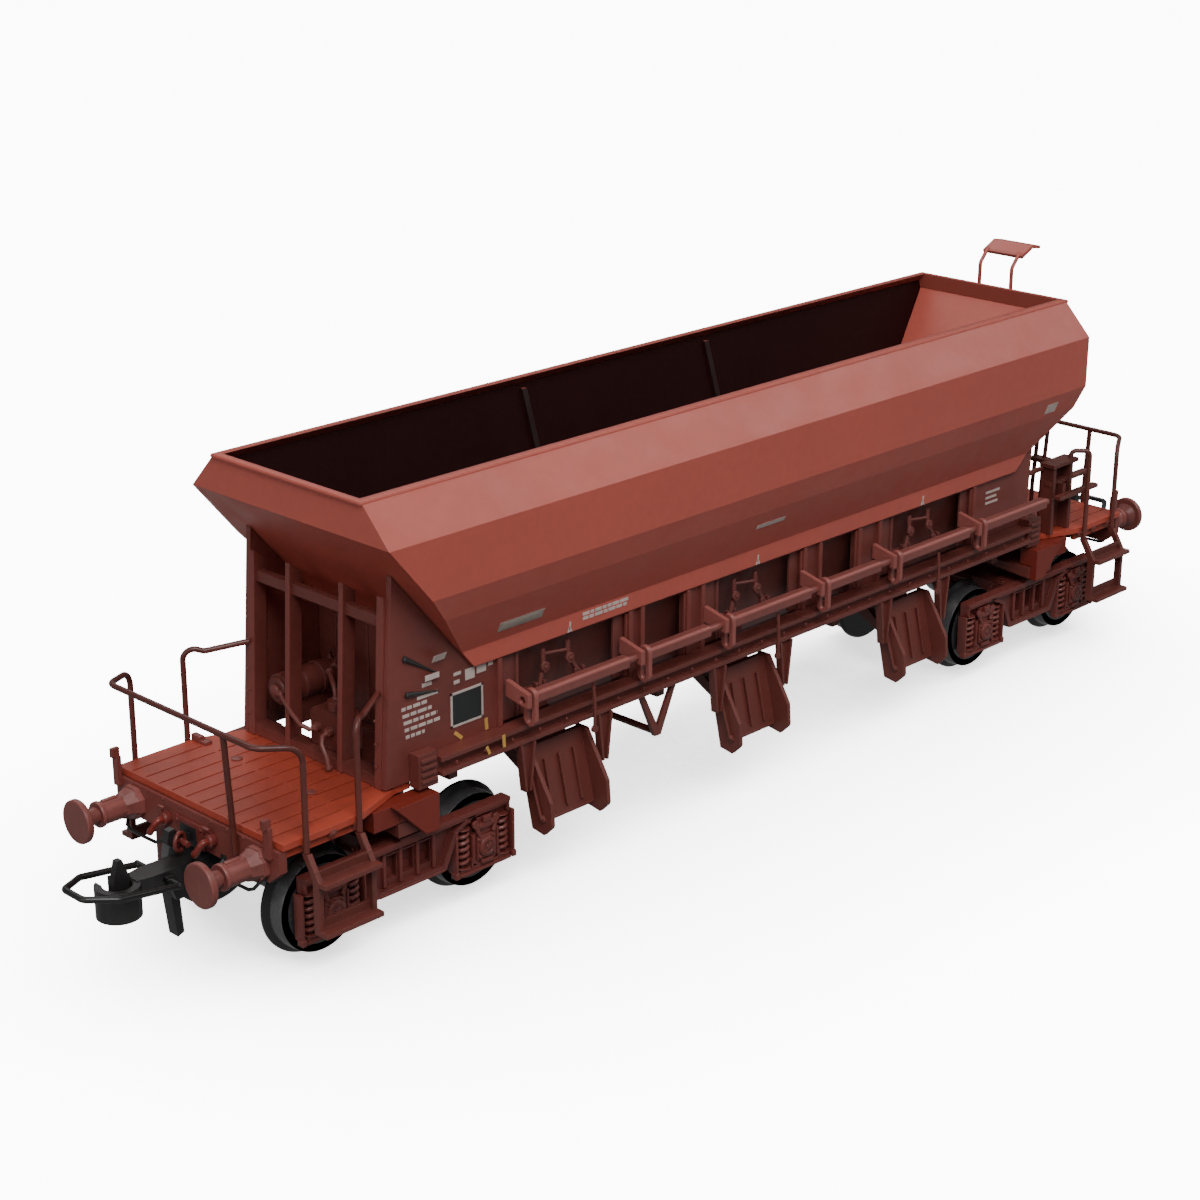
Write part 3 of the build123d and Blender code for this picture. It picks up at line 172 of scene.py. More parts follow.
def painted_shade_inside_walls(tree, geometry):
    """Mask of painted shade: 1 on faces that look towards the middle of the hopper, 0 on its
    outside and rims.
    """
    product = tree.nodes.new("ShaderNodeVectorMath")
    product.operation = "DOT_PRODUCT"
    tree.links.new(geometry.outputs["Normal"], product.inputs[0])
    flat = tree.nodes.new("ShaderNodeVectorMath")
    flat.operation = "MULTIPLY"
    # about the half length and half width of the hopper, so that all four walls weigh alike
    flat.inputs[1].default_value = (1 / 58, 1 / 14, 0)
    tree.links.new(geometry.outputs["Position"], flat.inputs[0])
    tree.links.new(flat.outputs[0], product.inputs[1])
    return map_range(tree, product.outputs["Value"], -0.0001, -0.0002, 0.0, 1.0)


def shaded_upright_faces(tree, geometry):
    """1 on upright faces, 0 on faces that look up: mask of painted shade that leaves only the tops
    lit.
    """
    parts = tree.nodes.new("ShaderNodeSeparateXYZ")
    tree.links.new(geometry.outputs["Normal"], parts.inputs[0])
    return map_range(tree, parts.outputs["Z"], 0.5, 0.7, 1.0, 0.0)


RED = (0.33, 0.068, 0.049)
DECK_RED = (0.33, 0.050, 0.028)
# darker copy of the body red for the parts under the hopper: painted shade under the body's
# overhang
UNDER_SHADE_RED = (0.11, 0.027, 0.021)
body_red = plastic("body_red", RED)
# hopper shell: faces inside the hopper are darkened to 0.8 of the red as painted shade
shell_red = plastic("shell_red", RED, painted_shade_mask=painted_shade_inside_walls, shade=0.8)
# nearly black inside of the hopper: painted shade of its deep inside
liner_painted_shade = plastic("liner_painted_shade", (0.014, 0.0012, 0.001), rough=0.6, wear=0.1, specular=0.12)
# partitions: half the body red, upright faces darkened much further; painted shade with only the
# top edges lit
partition_red = plastic("partition_red", scaled(RED, 0.5), painted_shade_mask=shaded_upright_faces)
deck_red = plastic("deck_red", DECK_RED, rough=0.4)
under_shade_red = plastic("under_shade_red", UNDER_SHADE_RED, rough=0.42)
# darker copies of the body red for gear, frames, shafts, pads, buffers, draw gear and bogies:
# painted shade round and under the body; the frame, shaft and buffer tones are also greyed as a
# painted sheen
gear_red = plastic("gear_red", (0.11, 0.030, 0.025), rough=0.45)
frame_red = plastic("frame_red", (0.14, 0.034, 0.027), rough=0.45)
shaft_red = plastic("shaft_red", (0.21, 0.062, 0.052), rough=0.42)
pad_red = plastic("pad_red", (0.13, 0.016, 0.009), rough=0.42)
buffer_red = plastic("buffer_red", (0.19, 0.055, 0.047), rough=0.4)
draw_red = plastic("draw_red", (0.12, 0.022, 0.018), rough=0.35)
bogie_red = plastic("bogie_red", (0.115, 0.025, 0.02), rough=0.42)
rail_dark = plastic("rail_dark", (0.09, 0.020, 0.015), rough=0.38)
coupler_black = plastic("coupler_black", (0.014, 0.013, 0.013), rough=0.38)
loop_wire = plastic("loop_wire", (0.012, 0.012, 0.012), rough=0.32)
hose_red = plastic("hose_red", (0.16, 0.018, 0.012), rough=0.35)
wheel_black = plastic("wheel_black", (0.010, 0.010, 0.011), rough=0.33)
tread_steel = plastic("tread_steel", (0.05, 0.05, 0.052), rough=0.24, specular=0.9)
axle_steel = plastic("axle_steel", (0.05, 0.05, 0.052), rough=0.3)
weight_iron = plastic("weight_iron", (0.08, 0.08, 0.085), rough=0.5)
mark_white = plastic("mark_white", (0.56, 0.47, 0.44), rough=0.5, wear=0.0, round_edge=0.02)
mark_black = plastic("mark_black", (0.014, 0.018, 0.018), rough=0.35, wear=0.0, round_edge=0.02)
mark_silver = plastic("mark_silver", (0.42, 0.38, 0.33), rough=0.35, wear=0.0, round_edge=0.02)
mark_yellow = plastic("mark_yellow", (0.62, 0.36, 0.09), rough=0.45, wear=0.0, round_edge=0.02)
slots = {
    "body_red": body_red,
    "bogie_red": bogie_red,
    "rail_dark": rail_dark,
    "coupler_black": coupler_black,
    "loop_wire": loop_wire,
    "hose_red": hose_red,
    "wheel_black": wheel_black,
    "axle_steel": axle_steel,
    "weight_iron": weight_iron,
}
special = {
    "hopper_shell": shell_red,
    "hopper_liner": liner_painted_shade,
    "partition_near": partition_red,
    "partition_far": partition_red,
    "platform_near": deck_red,
    "platform_far": deck_red,
    "side_frame_left": frame_red,
    "side_frame_right": frame_red,
    "end_frame_near": frame_red,
    "end_frame_far": frame_red,
    "headstocks": frame_red,
    "buffer_heads": buffer_red,
    "buffer_sleeves": buffer_red,
    "discharge_shafts": shaft_red,
    "shaft_levers": shaft_red,
    "shaft_bearings": shaft_red,
    "jacking_pads": pad_red,
    "lamp_irons": frame_red,
}
# parts under the hopper get the darker red: painted shade under the body's overhang
for under in (
    "lower_body", "center_sill", "body_bolsters", "discharge_boxes", "chutes", "chute_hangers",
    "brake_rigging", "solebars", "brake_cylinder", "control_valve", "steps", "louvre_boxes",
    "brake_stand",
):
    special[under] = under_shade_red


def assign_cad_materials():
    """Give every carried-over node its own look, or else the look of its slot."""
    slot_of = {part["node"]: part["material_slot"] for part in frame["record"]["subparts"]}
    for name, node in nodes.items():
        material = special.get(name, slots[slot_of[name]])
        for index in range(len(node.data.materials)):
            node.data.materials[index] = material
        if not node.data.materials:
            node.data.materials.append(material)


assign_cad_materials()


# ---------------------------------------------------------------- mesh pieces
class Piece:
    """Mesh in millimetres that grows shape by shape and is then hung on its body."""

    def __init__(self, name):
        self.name = name
        self.mesh = bmesh.new()

    def box(self, x, y, z, edge=0.07):
        """Block between two values along each axis, with rounded edges."""
        size = [abs(b - a) for a, b in (x, y, z)]
        middle = [(a + b) / 2 for a, b in (x, y, z)]
        place = Matrix.Translation(middle) @ Matrix.Diagonal((*size, 1))
        made = bmesh.ops.create_cube(self.mesh, size=1, matrix=place)["verts"]
        edges = {e for v in made for e in v.link_edges}
        offset = min(edge, min(size) * 0.4)
        bmesh.ops.bevel(
            self.mesh, geom=list(edges), offset=offset, segments=2, profile=0.6, affect="EDGES",
        )

    def prism(self, points, axis, low, high):
        """Polygon drawn across one axis and pulled from low to high along it."""
        order = {"x": (2, 0, 1), "y": (0, 2, 1), "z": (0, 1, 2)}[axis]
        rings = []
        for level in (low, high):
            corners = [[(a, b, level)[i] for i in order] for a, b in points]
            rings.append([self.mesh.verts.new(corner) for corner in corners])
        count = len(points)
        for i in range(count):
            j = (i + 1) % count
            self.mesh.faces.new((rings[0][i], rings[0][j], rings[1][j], rings[1][i]))
        self.mesh.faces.new(rings[0][::-1])
        self.mesh.faces.new(rings[1])

    def rod(self, points, radius, sides=10, end_radius=None):
        """Round bar along points, thinner towards its end when asked."""
        path = [Vector(p) for p in points]
        last = len(path) - 1
        rings = []
        side = None
        for i, p in enumerate(path):
            along = (path[min(i + 1, last)] - path[max(i - 1, 0)]).normalized()
            if side is None:
                side = along.orthogonal().normalized()
            side = (side - along * side.dot(along)).normalized()
            other = along.cross(side)
            share = i / last
            r = radius if end_radius is None else radius * (1 - share) + end_radius * share
            ring = []
            for k in range(sides):
                turn = 2 * math.pi * k / sides
                out = side * math.cos(turn) + other * math.sin(turn)
                ring.append(self.mesh.verts.new(p + out * r))
            rings.append(ring)
        for a, b in zip(rings, rings[1:]):
            for k in range(sides):
                j = (k + 1) % sides
                self.mesh.faces.new((a[k], a[j], b[j], b[k]))
        self.mesh.faces.new(rings[0][::-1])
        self.mesh.faces.new(rings[-1])

    def lathe(self, profile, centre, axis, sides=20):
        """Turned shape: profile points (radius, height) about an axis through centre."""
        centre = Vector(centre)
        axis = Vector(axis).normalized()
        side = axis.orthogonal().normalized()
        other = axis.cross(side)
        rings = []
        for r, h in profile:
            ring = []
            for k in range(sides):
                turn = 2 * math.pi * (k + 0.5) / sides
                spot = centre + axis * h + (side * math.cos(turn) + other * math.sin(turn)) * r
                ring.append(self.mesh.verts.new(spot))
            rings.append(ring)
        for a, b in zip(rings, rings[1:]):
            for k in range(sides):
                j = (k + 1) % sides
                self.mesh.faces.new((a[k], a[j], b[j], b[k]))
        self.mesh.faces.new(rings[0][::-1])
        self.mesh.faces.new(rings[-1])

    def bolt(self, centre, axis, radius=0.2, height=0.16):
        """Hexagon head with a rounded top."""
        profile = (
            (radius, -0.02), (radius, height * 0.7),
            (radius * 0.8, height), (radius * 0.3, height * 1.05),
        )
        self.lathe(profile, centre, axis, sides=6)

    def done(self, material, body, smooth=True, hides=()):
        """Turn the shapes into one object that rides on body and replaces the nodes in hides."""
        bmesh.ops.recalc_face_normals(self.mesh, faces=self.mesh.faces)
        mesh = bpy.data.meshes.new(self.name)
        bmesh.ops.scale(self.mesh, vec=(MM, MM, MM), verts=self.mesh.verts)
        self.mesh.to_mesh(mesh)
        self.mesh.free()
        mesh.materials.append(material)
        if smooth:
            mesh.shade_smooth()
            mesh.set_sharp_from_angle(angle=math.radians(38))
        made = bpy.data.objects.new(self.name, mesh)
        bpy.context.collection.objects.link(made)
        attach(made, body)
        if hides:
            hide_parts(*hides)


def lerp(a, b, t):
    """Value that lies a share t of the way from a to b."""
    return a + (b - a) * t


# ---------------------------------------------------------------- bogies
def make_springs(end, centre):
    """Wound springs between their seats, beside each axlebox."""
    piece = Piece(f"coils_{end}")
    low, high, turns, steps = 4.02, 8.55, 5.4, 14
    coil_radius, wire = 0.64, 0.24
    seat = ((0.3, 0.0), (0.88, 0.0), (0.92, 0.05), (0.92, 0.1), (0.88, 0.15), (0.3, 0.15))
    for axle in (centre - HALF_BASE, centre + HALF_BASE):
        for shift in (-2.75, 2.75):
            for side in SIDES:
                x, y = axle + shift, side * 11.2
                points = []
                for i in range(int(turns * steps) + 1):
                    turn = 2 * math.pi * i / steps
                    height = lerp(low + 0.22, high - 0.22, i / (turns * steps))
                    across, along = math.cos(turn), math.sin(turn)
                    points.append((x + coil_radius * across, y + coil_radius * along, height))
                piece.rod(points, wire, sides=7)
                piece.lathe(((0.3, 0), (0.3, high - low)), (x, y, low), (0, 0, 1), sides=10)
                for z in (low - 0.03, high - 0.12):
                    piece.lathe(seat, (x, y, z), (0, 0, 1))
    piece.done(bogie_red, f"bogie_{end}", hides=(f"coil_springs_{end}",))


def make_bogie_trim(end, centre):
    """Ribs, lips, guides, backing plates and bolts on the side frames of a bogie."""
    piece = Piece(f"bogie_trim_{end}")
    eye = ((0.1, 0), (0.42, 0), (0.46, 0.06), (0.46, 0.24), (0.42, 0.3), (0.1, 0.3))
    for side in SIDES:
        face = side * 11.25
        out = side * BEAM_FACE
        # ribs between the windows, a lip above them and a plate behind them
        for x in (-3.35, -1.15, 1.15, 3.35):
            piece.box((centre + x - 0.2, centre + x + 0.2), (face, side * 11.6), (5.6, 9.85))
        piece.box((centre - 3.5, centre + 3.5), (face, side * 11.45), (8.95, 9.2))
        piece.box((centre - 4.2, centre + 4.2), (side * 10.15, side * 10.5), (5.3, 9.5))
        # fall of the beam's lip at its outer edge, and end plates
        piece.box((centre - 13.85, centre + 13.85), (side * 11.78, out), (9.62, 10.0))
        for sign in (-1, 1):
            edge = centre + sign * 13.75
            piece.box((edge - 0.15, edge + 0.15), (face, side * 11.9), (8.7, 10.0))
            axle = centre + sign * HALF_BASE
            # guides that stand on either side of the springs
            for shift in (-4.05, 4.05):
                x = axle + shift
                piece.box((x - 0.16, x + 0.16), (side * 10.7, side * 12.0), (3.7, 8.75))
                piece.box((x - 0.28, x + 0.28), (side * 11.2, side * 12.1), (3.25, 3.95))
            # damper links between frame and axlebox: eye, link and pin
            for shift in (-1.5, 1.5):
                x = axle + shift
                piece.rod(((x, out, 8.6), (lerp(x, axle, 0.35), side * 12.1, 7.35)), 0.24)
                piece.lathe(eye, (x, side * 11.85, 8.75), (0, side, 0), sides=14)
            # lips of the spring seat, and its stiffeners
            piece.box((axle - 3.6, axle + 3.6), (side * 11.8, side * 12.05), (3.25, 3.6))
            for shift in (-1.9, 1.9):
                corner = axle + shift
                piece.prism(bar(corner - 0.12, corner + 0.12, 3.9, 5.0), "y", side * 11.3, out)
            # upper stop over the axlebox
            piece.box((axle - 1.25, axle + 1.25), (side * 11.85, side * 12.2), (8.05, 8.75))
            piece.box((axle - 0.55, axle + 0.55), (side * 11.9, side * 12.3), (8.75, 9.45))
            for shift in (-0.85, 0.85):
                piece.bolt((axle + shift, side * 12.2, 8.4), (0, side, 0), 0.16, 0.12)
            # rivets at the join of strap and web
            for reach in (6.1, 6.9, 8.0):
                height = 8.35 if reach < 6.5 else 9.2 if reach < 7.5 else 9.7
                spot = (centre + sign * reach, out, height - 0.35)
                piece.bolt(spot, (0, side, 0), 0.14, 0.1)
        # rivets along the beam
        for i in range(13):
            x = centre - 12.6 + 2.1 * i
            piece.bolt((x, side * 11.4, 10.4), (0, 0, 1), 0.13, 0.07)
        # lower lip of the fish-belly strap
        piece.box((centre - 4.4, centre + 4.4), (side * 11.75, side * 12.0), (4.85, 5.15))
        # pad and rubbing plate over the middle
        piece.box((centre - 1.5, centre + 1.5), (side * 11.3, side * 12.0), (10.35, 10.62))
    piece.done(bogie_red, f"bogie_{end}")


def make_axlebox_faces(end, centre):
    """Front of each axlebox: square cover, four bolts, domed cap and an oil lip below."""
    piece = Piece(f"axlebox_faces_{end}")
    cap = (
        (1.12, 0.0), (1.12, 0.2), (1.0, 0.32), (0.72, 0.38), (0.66, 0.3), (0.3, 0.3), (0.26, 0.38),
    )
    for axle in (centre - HALF_BASE, centre + HALF_BASE):
        for side in SIDES:
            front = side * 12.1
            piece.box((axle - 1.32, axle + 1.32), (side * 11.87, front), (4.55, 7.25), edge=0.2)
            piece.lathe(cap, (axle, front, AXLE_Z), (0, side, 0), sides=28)
            for dx in (-0.98, 0.98):
                for dz in (-0.98, 0.98):
                    piece.bolt((axle + dx, front, AXLE_Z + dz), (0, side, 0), 0.19, 0.16)
            piece.box((axle - 0.8, axle + 0.8), (side * 11.8, side * 12.25), (4.05, 4.5))
            for dx in (-1.72, 1.72):
                x = axle + dx
                piece.box((x - 0.14, x + 0.14), (side * 11.5, side * 12.0), (4.3, 7.6))
    piece.done(bogie_red, f"bogie_{end}", hides=(f"axlebox_covers_{end}",))


def make_bogie_tops(end, centre):
    """Bolster trim that shows from above: side bearers, brake levers and pull rods."""
    piece = Piece(f"bogie_tops_{end}")
    for side in SIDES:
        piece.box((centre - 2.6, centre + 2.6), (side * 7.7, side * 10.3), (9.95, 10.12), edge=0.05)
        for dx in (-2.8, 2.8):
            piece.bolt((centre + dx, side * 9.2, 10.0), (0, 0, 1), 0.28, 0.2)
        for sign in (-1, 1):
            x = centre + sign * 3.7
            top = x + sign * 0.2
            piece.rod(((x, side * 4.2, 8.2), (top, side * 4.2, 9.9)), 0.28)
            piece.rod(((top, side * 4.2, 9.6), (top, side * 1.9, 9.6)), 0.2)
            piece.box((x - 0.4, x + 0.7), (side * 3.9, side * 4.5), (7.2, 7.6))
            # hangers that carry the shoes
            for dx in (0.55, 1.15):
                shoe = centre + sign * (3.45 + dx)
                foot = shoe - sign * 0.1
                piece.rod(((shoe, side * 8.2, 9.6), (foot, side * 8.2, 6.2)), 0.17)
    piece.done(bogie_red, f"bogie_{end}")


# ---------------------------------------------------------------- wheels
def make_wheel_rims(number, axle):
    """Worn ring round each tread, and a hub ring, bosses and a rim bead on the wheel faces."""
    body = f"wheelset_{number}"
    bright = Piece(f"tread_rings_{number}")
    webs = Piece(f"wheel_faces_{number}")
    ring = ((5.0, 0), (5.155, 0.0), (5.185, 0.05), (5.33, 1.62), (5.2, 1.63), (5.0, 1.0))
    hub = ((1.15, 0), (1.4, 0), (1.4, 0.06), (1.25, 0.14), (1.15, 0.14))
    bead = ((3.9, 0), (4.15, 0), (4.15, 0.2), (3.9, 0.12))
    bosses, boss_circle = 8, 2.9
    for side in SIDES:
        bright.lathe(ring, (axle, side * 9.9, AXLE_Z), (0, -side, 0), sides=64)
        webs.lathe(hub, (axle, side * 9.78, AXLE_Z), (0, side, 0), sides=28)
        for i in range(bosses):
            turn = 2 * math.pi * i / bosses
            across, rise = boss_circle * math.cos(turn), boss_circle * math.sin(turn)
            webs.bolt((axle + across, side * 8.98, AXLE_Z + rise), (0, side, 0), 0.3, 0.2)
        webs.lathe(bead, (axle, side * 9.0, AXLE_Z), (0, side, 0), sides=48)
    bright.done(tread_steel, body)
    webs.done(wheel_black, body)


# ---------------------------------------------------------------- hopper and side frames
def surface_y(z):
    """Distance from the middle to the outer face of the hopper side at a height."""
    stops = ((26.4, 11.9), (28.4, 11.9), (33.7, 14.4), (36.6, 15.4), (43.0, 15.4), (47.2, 11.4))
    for (z0, y0), (z1, y1) in zip(stops, stops[1:]):
        if z <= z1:
            return lerp(y0, y1, (z - z0) / (z1 - z0))
    return stops[-1][1]


def make_rim_lip():
    """Folded lip round the rim of the hopper; profile points are (out, z)."""
    piece = Piece("rim_lip")
    near, far, half = -59.4, 58.7, 11.4
    profile = (
        (-0.5, 46.9), (0.1, 46.72), (0.26, 46.82), (0.3, 47.02), (0.2, 47.2), (-0.5, 47.24),
    )
    corners = ((near, -half), (far, -half), (far, half), (near, half))
    rings = []
    for x, y in corners:
        ring = []
        for out, z in profile:
            spread_x = out if x > 0 else -out
            spread_y = out if y > 0 else -out
            ring.append(piece.mesh.verts.new((x + spread_x, y + spread_y, z)))
        rings.append(ring)
    count = len(profile)
    for i in range(4):
        a, b = rings[i], rings[(i + 1) % 4]
        for k in range(count):
            j = (k + 1) % count
            piece.mesh.faces.new((a[k], a[j], b[j], b[k]))
    piece.done(body_red, "body")


def make_side_gear():
    """Levers, links and guide boxes behind the wide openings of the side frames."""
    piece = Piece("side_gear")
    eye = ((0.15, 0), (0.55, 0), (0.6, 0.08), (0.6, 0.3), (0.55, 0.38), (0.15, 0.38))
    for left, right in SIDE_OPENINGS:
        middle = (left + right) / 2 - 1.2
        for side in SIDES:
            y = side * 11.0
            piece.box((left + 0.1, left + 2.3), (side * 10.75, side * 11.1), (18.7, 26.2))
            piece.box((left + 2.3, left + 2.7), (side * 10.8, side * 11.3), (18.8, 26.2))
            piece.box((left + 3.0, left + 7.0), (side * 9.2, side * 11.2), (18.7, 20.4), edge=0.15)
            piece.box((left + 3.3, left + 6.7), (side * 9.4, side * 11.0), (20.4, 20.75), edge=0.1)
            piece.box((right - 1.6, right - 0.1), (side * 10.75, side * 11.1), (18.7, 26.2))
            # a pair of bell cranks on short pins, with their forked ends
            for shift, lean in ((-1.7, -0.5), (2.0, 1.7)):
                x = middle + shift
                top = (x, y, 25.2)
                knee = (x + 0.1, y, 23.2)
                foot = (x + lean, y, 21.2)
                piece.rod((top, knee), 0.3)
                piece.rod((knee, foot), 0.28)
                pin = (knee[0], y + side * 0.1, knee[2])
                piece.lathe(eye, pin, (0, side, 0), sides=16)
                piece.bolt((knee[0], y + side * 0.46, knee[2]), (0, side, 0), 0.2, 0.14)
                fork, thick = foot[0], (y - 0.3, y + 0.3)
                piece.box((fork - 0.75, fork + 0.75), thick, (20.75, 21.2))
                piece.box((fork - 0.75, fork - 0.45), thick, (21.2, 21.7))
                piece.box((fork + 0.45, fork + 0.75), thick, (21.2, 21.7))
            piece.rod(((middle - 1.6, y, 24.6), (middle + 2.1, y, 24.1)), 0.18)
    piece.done(gear_red, "body")


def make_frame_trim():
    """Rivets, edge strips and tapered black bars on the side frames and solebars."""
    piece = Piece("frame_trim")
    tapered_bars = Piece("dark_tapered_bars")
    knob = ((0.2, 0), (0.36, 0.05), (0.36, 0.2), (0.2, 0.3))
    for side in SIDES:
        face = side * SIDE_FACE
        for x0, x1 in (*SIDE_OPENINGS, (-19.8, -13.2), (10.7, 17.2)):
            for x in (x0 - 0.02, x1 + 0.02):
                piece.box((x - 0.12, x + 0.12), (side * 11.3, side * 11.62), (18.7, 26.0))
        for i in range(26):
            x = -49.5 + 3.96 * i
            piece.bolt((x, side * SOLEBAR_FACE, 17.6), (0, side, 0), 0.16, 0.1)
        for x0, z0, x1, z1 in ((-54.4, 29.6, -50.2, 27.0), (-54.2, 25.7, -50.0, 25.0)):
            y = face + side * 0.06
            points = [(lerp(x0, x1, t), y, lerp(z0, z1, t)) for t in (0, 0.5, 1)]
            tapered_bars.rod(points, 0.32, end_radius=0.06)
            tapered_bars.lathe(knob, points[0], (-1, 0, 0.3), sides=12)
    piece.done(frame_red, "body")
    tapered_bars.done(coupler_black, "body")


def flat_mark(piece, points, lift=0.05):
    """Thin painted patch on the outer face of both sides; points are (x, z)."""
    frame_top = 26.35
    for side in SIDES:
        rings = []
        for depth in (0.0, lift):
            ring = []
            for x, z in points:
                y = SIDE_FACE if z < frame_top else surface_y(z)
                ring.append(piece.mesh.verts.new((x, side * (y + depth), z)))
            rings.append(ring)
        count = len(points)
        for i in range(count):
            j = (i + 1) % count
            piece.mesh.faces.new((rings[0][i], rings[0][j], rings[1][j], rings[1][i]))
        piece.mesh.faces.new(rings[1])


def bar(x0, x1, z0, z1):
    """Outline of an upright rectangle."""
    return ((x0, z0), (x1, z0), (x1, z1), (x0, z1))


def stroke(x0, z0, x1, z1, width):
    """Outline of a slanting bar of some width between two points."""
    run = Vector((x1 - x0, z1 - z0)).normalized() * (width / 2)
    return (
        (x0 - run.y, z0 + run.x), (x0 + run.y, z0 - run.x),
        (x1 + run.y, z1 - run.x), (x1 - run.y, z1 + run.x),
    )


def make_marks():
    """Generic painted marks without any lettering: strokes, ticks, bars and one framed panel."""
    dice = random.Random(7)
    white = Piece("marks_white")
    # one plain bar on the flare, and a small three-stroke tick over each wide opening
    flat_mark(white, bar(-3.4, 1.4, 31.5, 32.0))
    for x in (-31.7, -1.3, 29.6):
        flat_mark(white, stroke(x, 26.5, x + 0.1, 27.6, 0.22))
        flat_mark(white, stroke(x - 0.25, 26.45, x + 0.02, 27.0, 0.14))
        flat_mark(white, stroke(x + 0.35, 26.45, x + 0.1, 27.0, 0.14))
    # broken lines of short bars
    for row in range(2):
        x, z, end = -29.7, 27.25 + 0.5 * row, -22.5
        while x < end - 0.4:
            long = dice.uniform(0.5, 1.5)
            flat_mark(white, bar(x, min(x + long, end), z, z + 0.35))
            x += long + 0.18
    for row in range(5):
        x, z = -55.0 + 0.12 * row, 24.1 - 0.78 * row
        end = (-51.6, -50.9, -50.2, -49.9, -52.0)[row]
        while x < end:
            long = dice.uniform(0.45, 1.2)
            flat_mark(white, bar(x, min(x + long, end), z, z + 0.36))
            x += long + 0.2
    # single bars
    for x0, x1, z0, z1 in (
        (-51.3, -49.6, 28.5, 29.3), (-52.2, -50.3, 26.7, 27.3), (-52.2, -50.9, 25.9, 26.3),
        (-52.9, -50.1, 24.75, 25.1), (-47.9, -46.9, 25.9, 26.25), (-47.9, -47.1, 25.0, 25.4),
        (-46.3, -45.0, 25.0, 26.2), (-44.7, -43.4, 25.3, 26.25), (-43.1, -42.4, 25.7, 26.25),
        (50.9, 53.1, 34.2, 35.5), (-12.6, -11.7, 19.9, 20.2), (43.6, 46.6, 24.5, 24.8),
        (43.6, 45.9, 23.8, 24.1), (43.6, 46.2, 23.1, 23.4),
    ):
        flat_mark(white, bar(x0, x1, z0, z1))
    # white border of the black panel
    (left, right), (low, high), border = (-48.4, -43.9), (20.3, 24.1), 0.24
    for x0, x1, z0, z1 in (
        (left, right, low, low + border), (left, right, high - border, high),
        (left, left + border, low, high), (right - border, right, low, high),
    ):
        flat_mark(white, bar(x0, x1, z0, z1), 0.09)
    white.done(mark_white, "body", smooth=False)
    black = Piece("marks_black")
    flat_mark(black, bar(left + 0.1, right - 0.1, low + 0.1, high - 0.1), 0.06)
    black.done(mark_black, "body", smooth=False)
    silver = Piece("marks_silver")
    flat_mark(silver, bar(-42.7, -36.4, 29.6, 30.7), 0.06)
    flat_mark(silver, bar(-42.2, -36.9, 29.85, 30.45), 0.1)
    silver.done(mark_silver, "body", smooth=False)
    yellow = Piece("marks_yellow")
    flat_mark(yellow, stroke(-47.9, 19.7, -46.9, 18.8, 0.4))
    flat_mark(yellow, stroke(-43.5, 20.0, -43.4, 18.7, 0.42))
    for side in SIDES:
        under, over = side * (SOLEBAR_FACE - 0.02), side * (SOLEBAR_FACE + 0.06)
        yellow.prism(stroke(-45.3, 17.9, -44.9, 17.0, 0.35), "y", under, over)
        yellow.prism(stroke(-42.9, 18.5, -42.8, 17.1, 0.4), "y", under, over)
    yellow.done(mark_yellow, "body", smooth=False)


# ---------------------------------------------------------------- ends
def make_grips():
    """Thin wire grips under the buffers, bent down from the headstock."""
    piece = Piece("wire_grips")
    root = HEADSTOCK_X - 0.1
    for end in SIDES:
        for side in SIDES:
            route = (
                (root, 10.9, 11.9), (73.1, 10.8, 11.5), (73.6, 10.4, 10.8),
                (73.7, 9.7, 10.5), (73.7, 7.4, 10.45), (73.7, 5.4, 10.5),
                (73.6, 4.9, 10.7), (73.2, 4.6, 11.3), (root, 4.5, 11.7),
            )
            piece.rod([(end * x, side * y, z) for x, y, z in route], 0.19)
            for y in (10.9, 4.5):
                width = (side * (y - 0.4), side * (y + 0.4))
                piece.box((end * root, end * (root + 0.25)), width, (11.5, 12.1))
    piece.done(coupler_black, "body")


def torus_points(centre, radius_x, radius_z, tilt, steps=18):
    """Oval ring of points in an upright plane turned by tilt about Z."""
    points = []
    for i in range(steps + 1):
        turn = 2 * math.pi * i / steps
        across = radius_x * math.cos(turn)
        spot = (math.cos(tilt) * across, math.sin(tilt) * across, radius_z * math.sin(turn))
        points.append(tuple(c + s for c, s in zip(centre, spot)))
    return points


def make_draw_gear():
    """Screw coupling that hangs from the draw hook, and fittings on the headstocks."""
    piece = Piece("draw_gear")
    nut = ((0.2, 0), (0.6, 0), (0.66, 0.1), (0.66, 0.5), (0.6, 0.6), (0.2, 0.6))
    cock = ((0.3, 0), (0.62, 0), (0.68, 0.1), (0.68, 0.7), (0.5, 0.85), (0.3, 0.85))
    for end in SIDES:
        face = end * HEADSTOCK_X
        piece.rod(torus_points((face + end * 1.9, 0.1, 12.6), 0.8, 0.95, 0.3), 0.24)
        piece.rod(torus_points((face + end * 1.5, 1.3, 12.2), 0.7, 0.85, 1.2), 0.24)
        piece.rod(((face + end * 1.6, -0.9, 12.5), (face + end * 1.6, 2.6, 12.7)), 0.33)
        piece.lathe(nut, (face + end * 1.6, 0.6, 12.5), (0, 1, 0), sides=16)
        piece.box((face, face + end * 0.35), (-1.7, 2.9), (11.5, 14.2), edge=0.15)
        for y in (-1.3, 2.5):
            for z in (11.9, 13.8):
                piece.bolt((face + end * 0.35, y, z), (end, 0, 0), 0.22, 0.16)
        # hose cocks with their handles
        for y in (-3.0, 4.4):
            piece.lathe(cock, (face, y, 13.3), (end, 0, 0), sides=18)
            piece.rod(((face + end * 0.6, y, 13.8), (face + end * 0.8, y + 0.2, 14.6)), 0.16)
            piece.box((face + end * 0.6, face + end * 1.0), (y - 0.35, y + 0.75), (14.5, 14.75))
    piece.done(draw_red, "body")


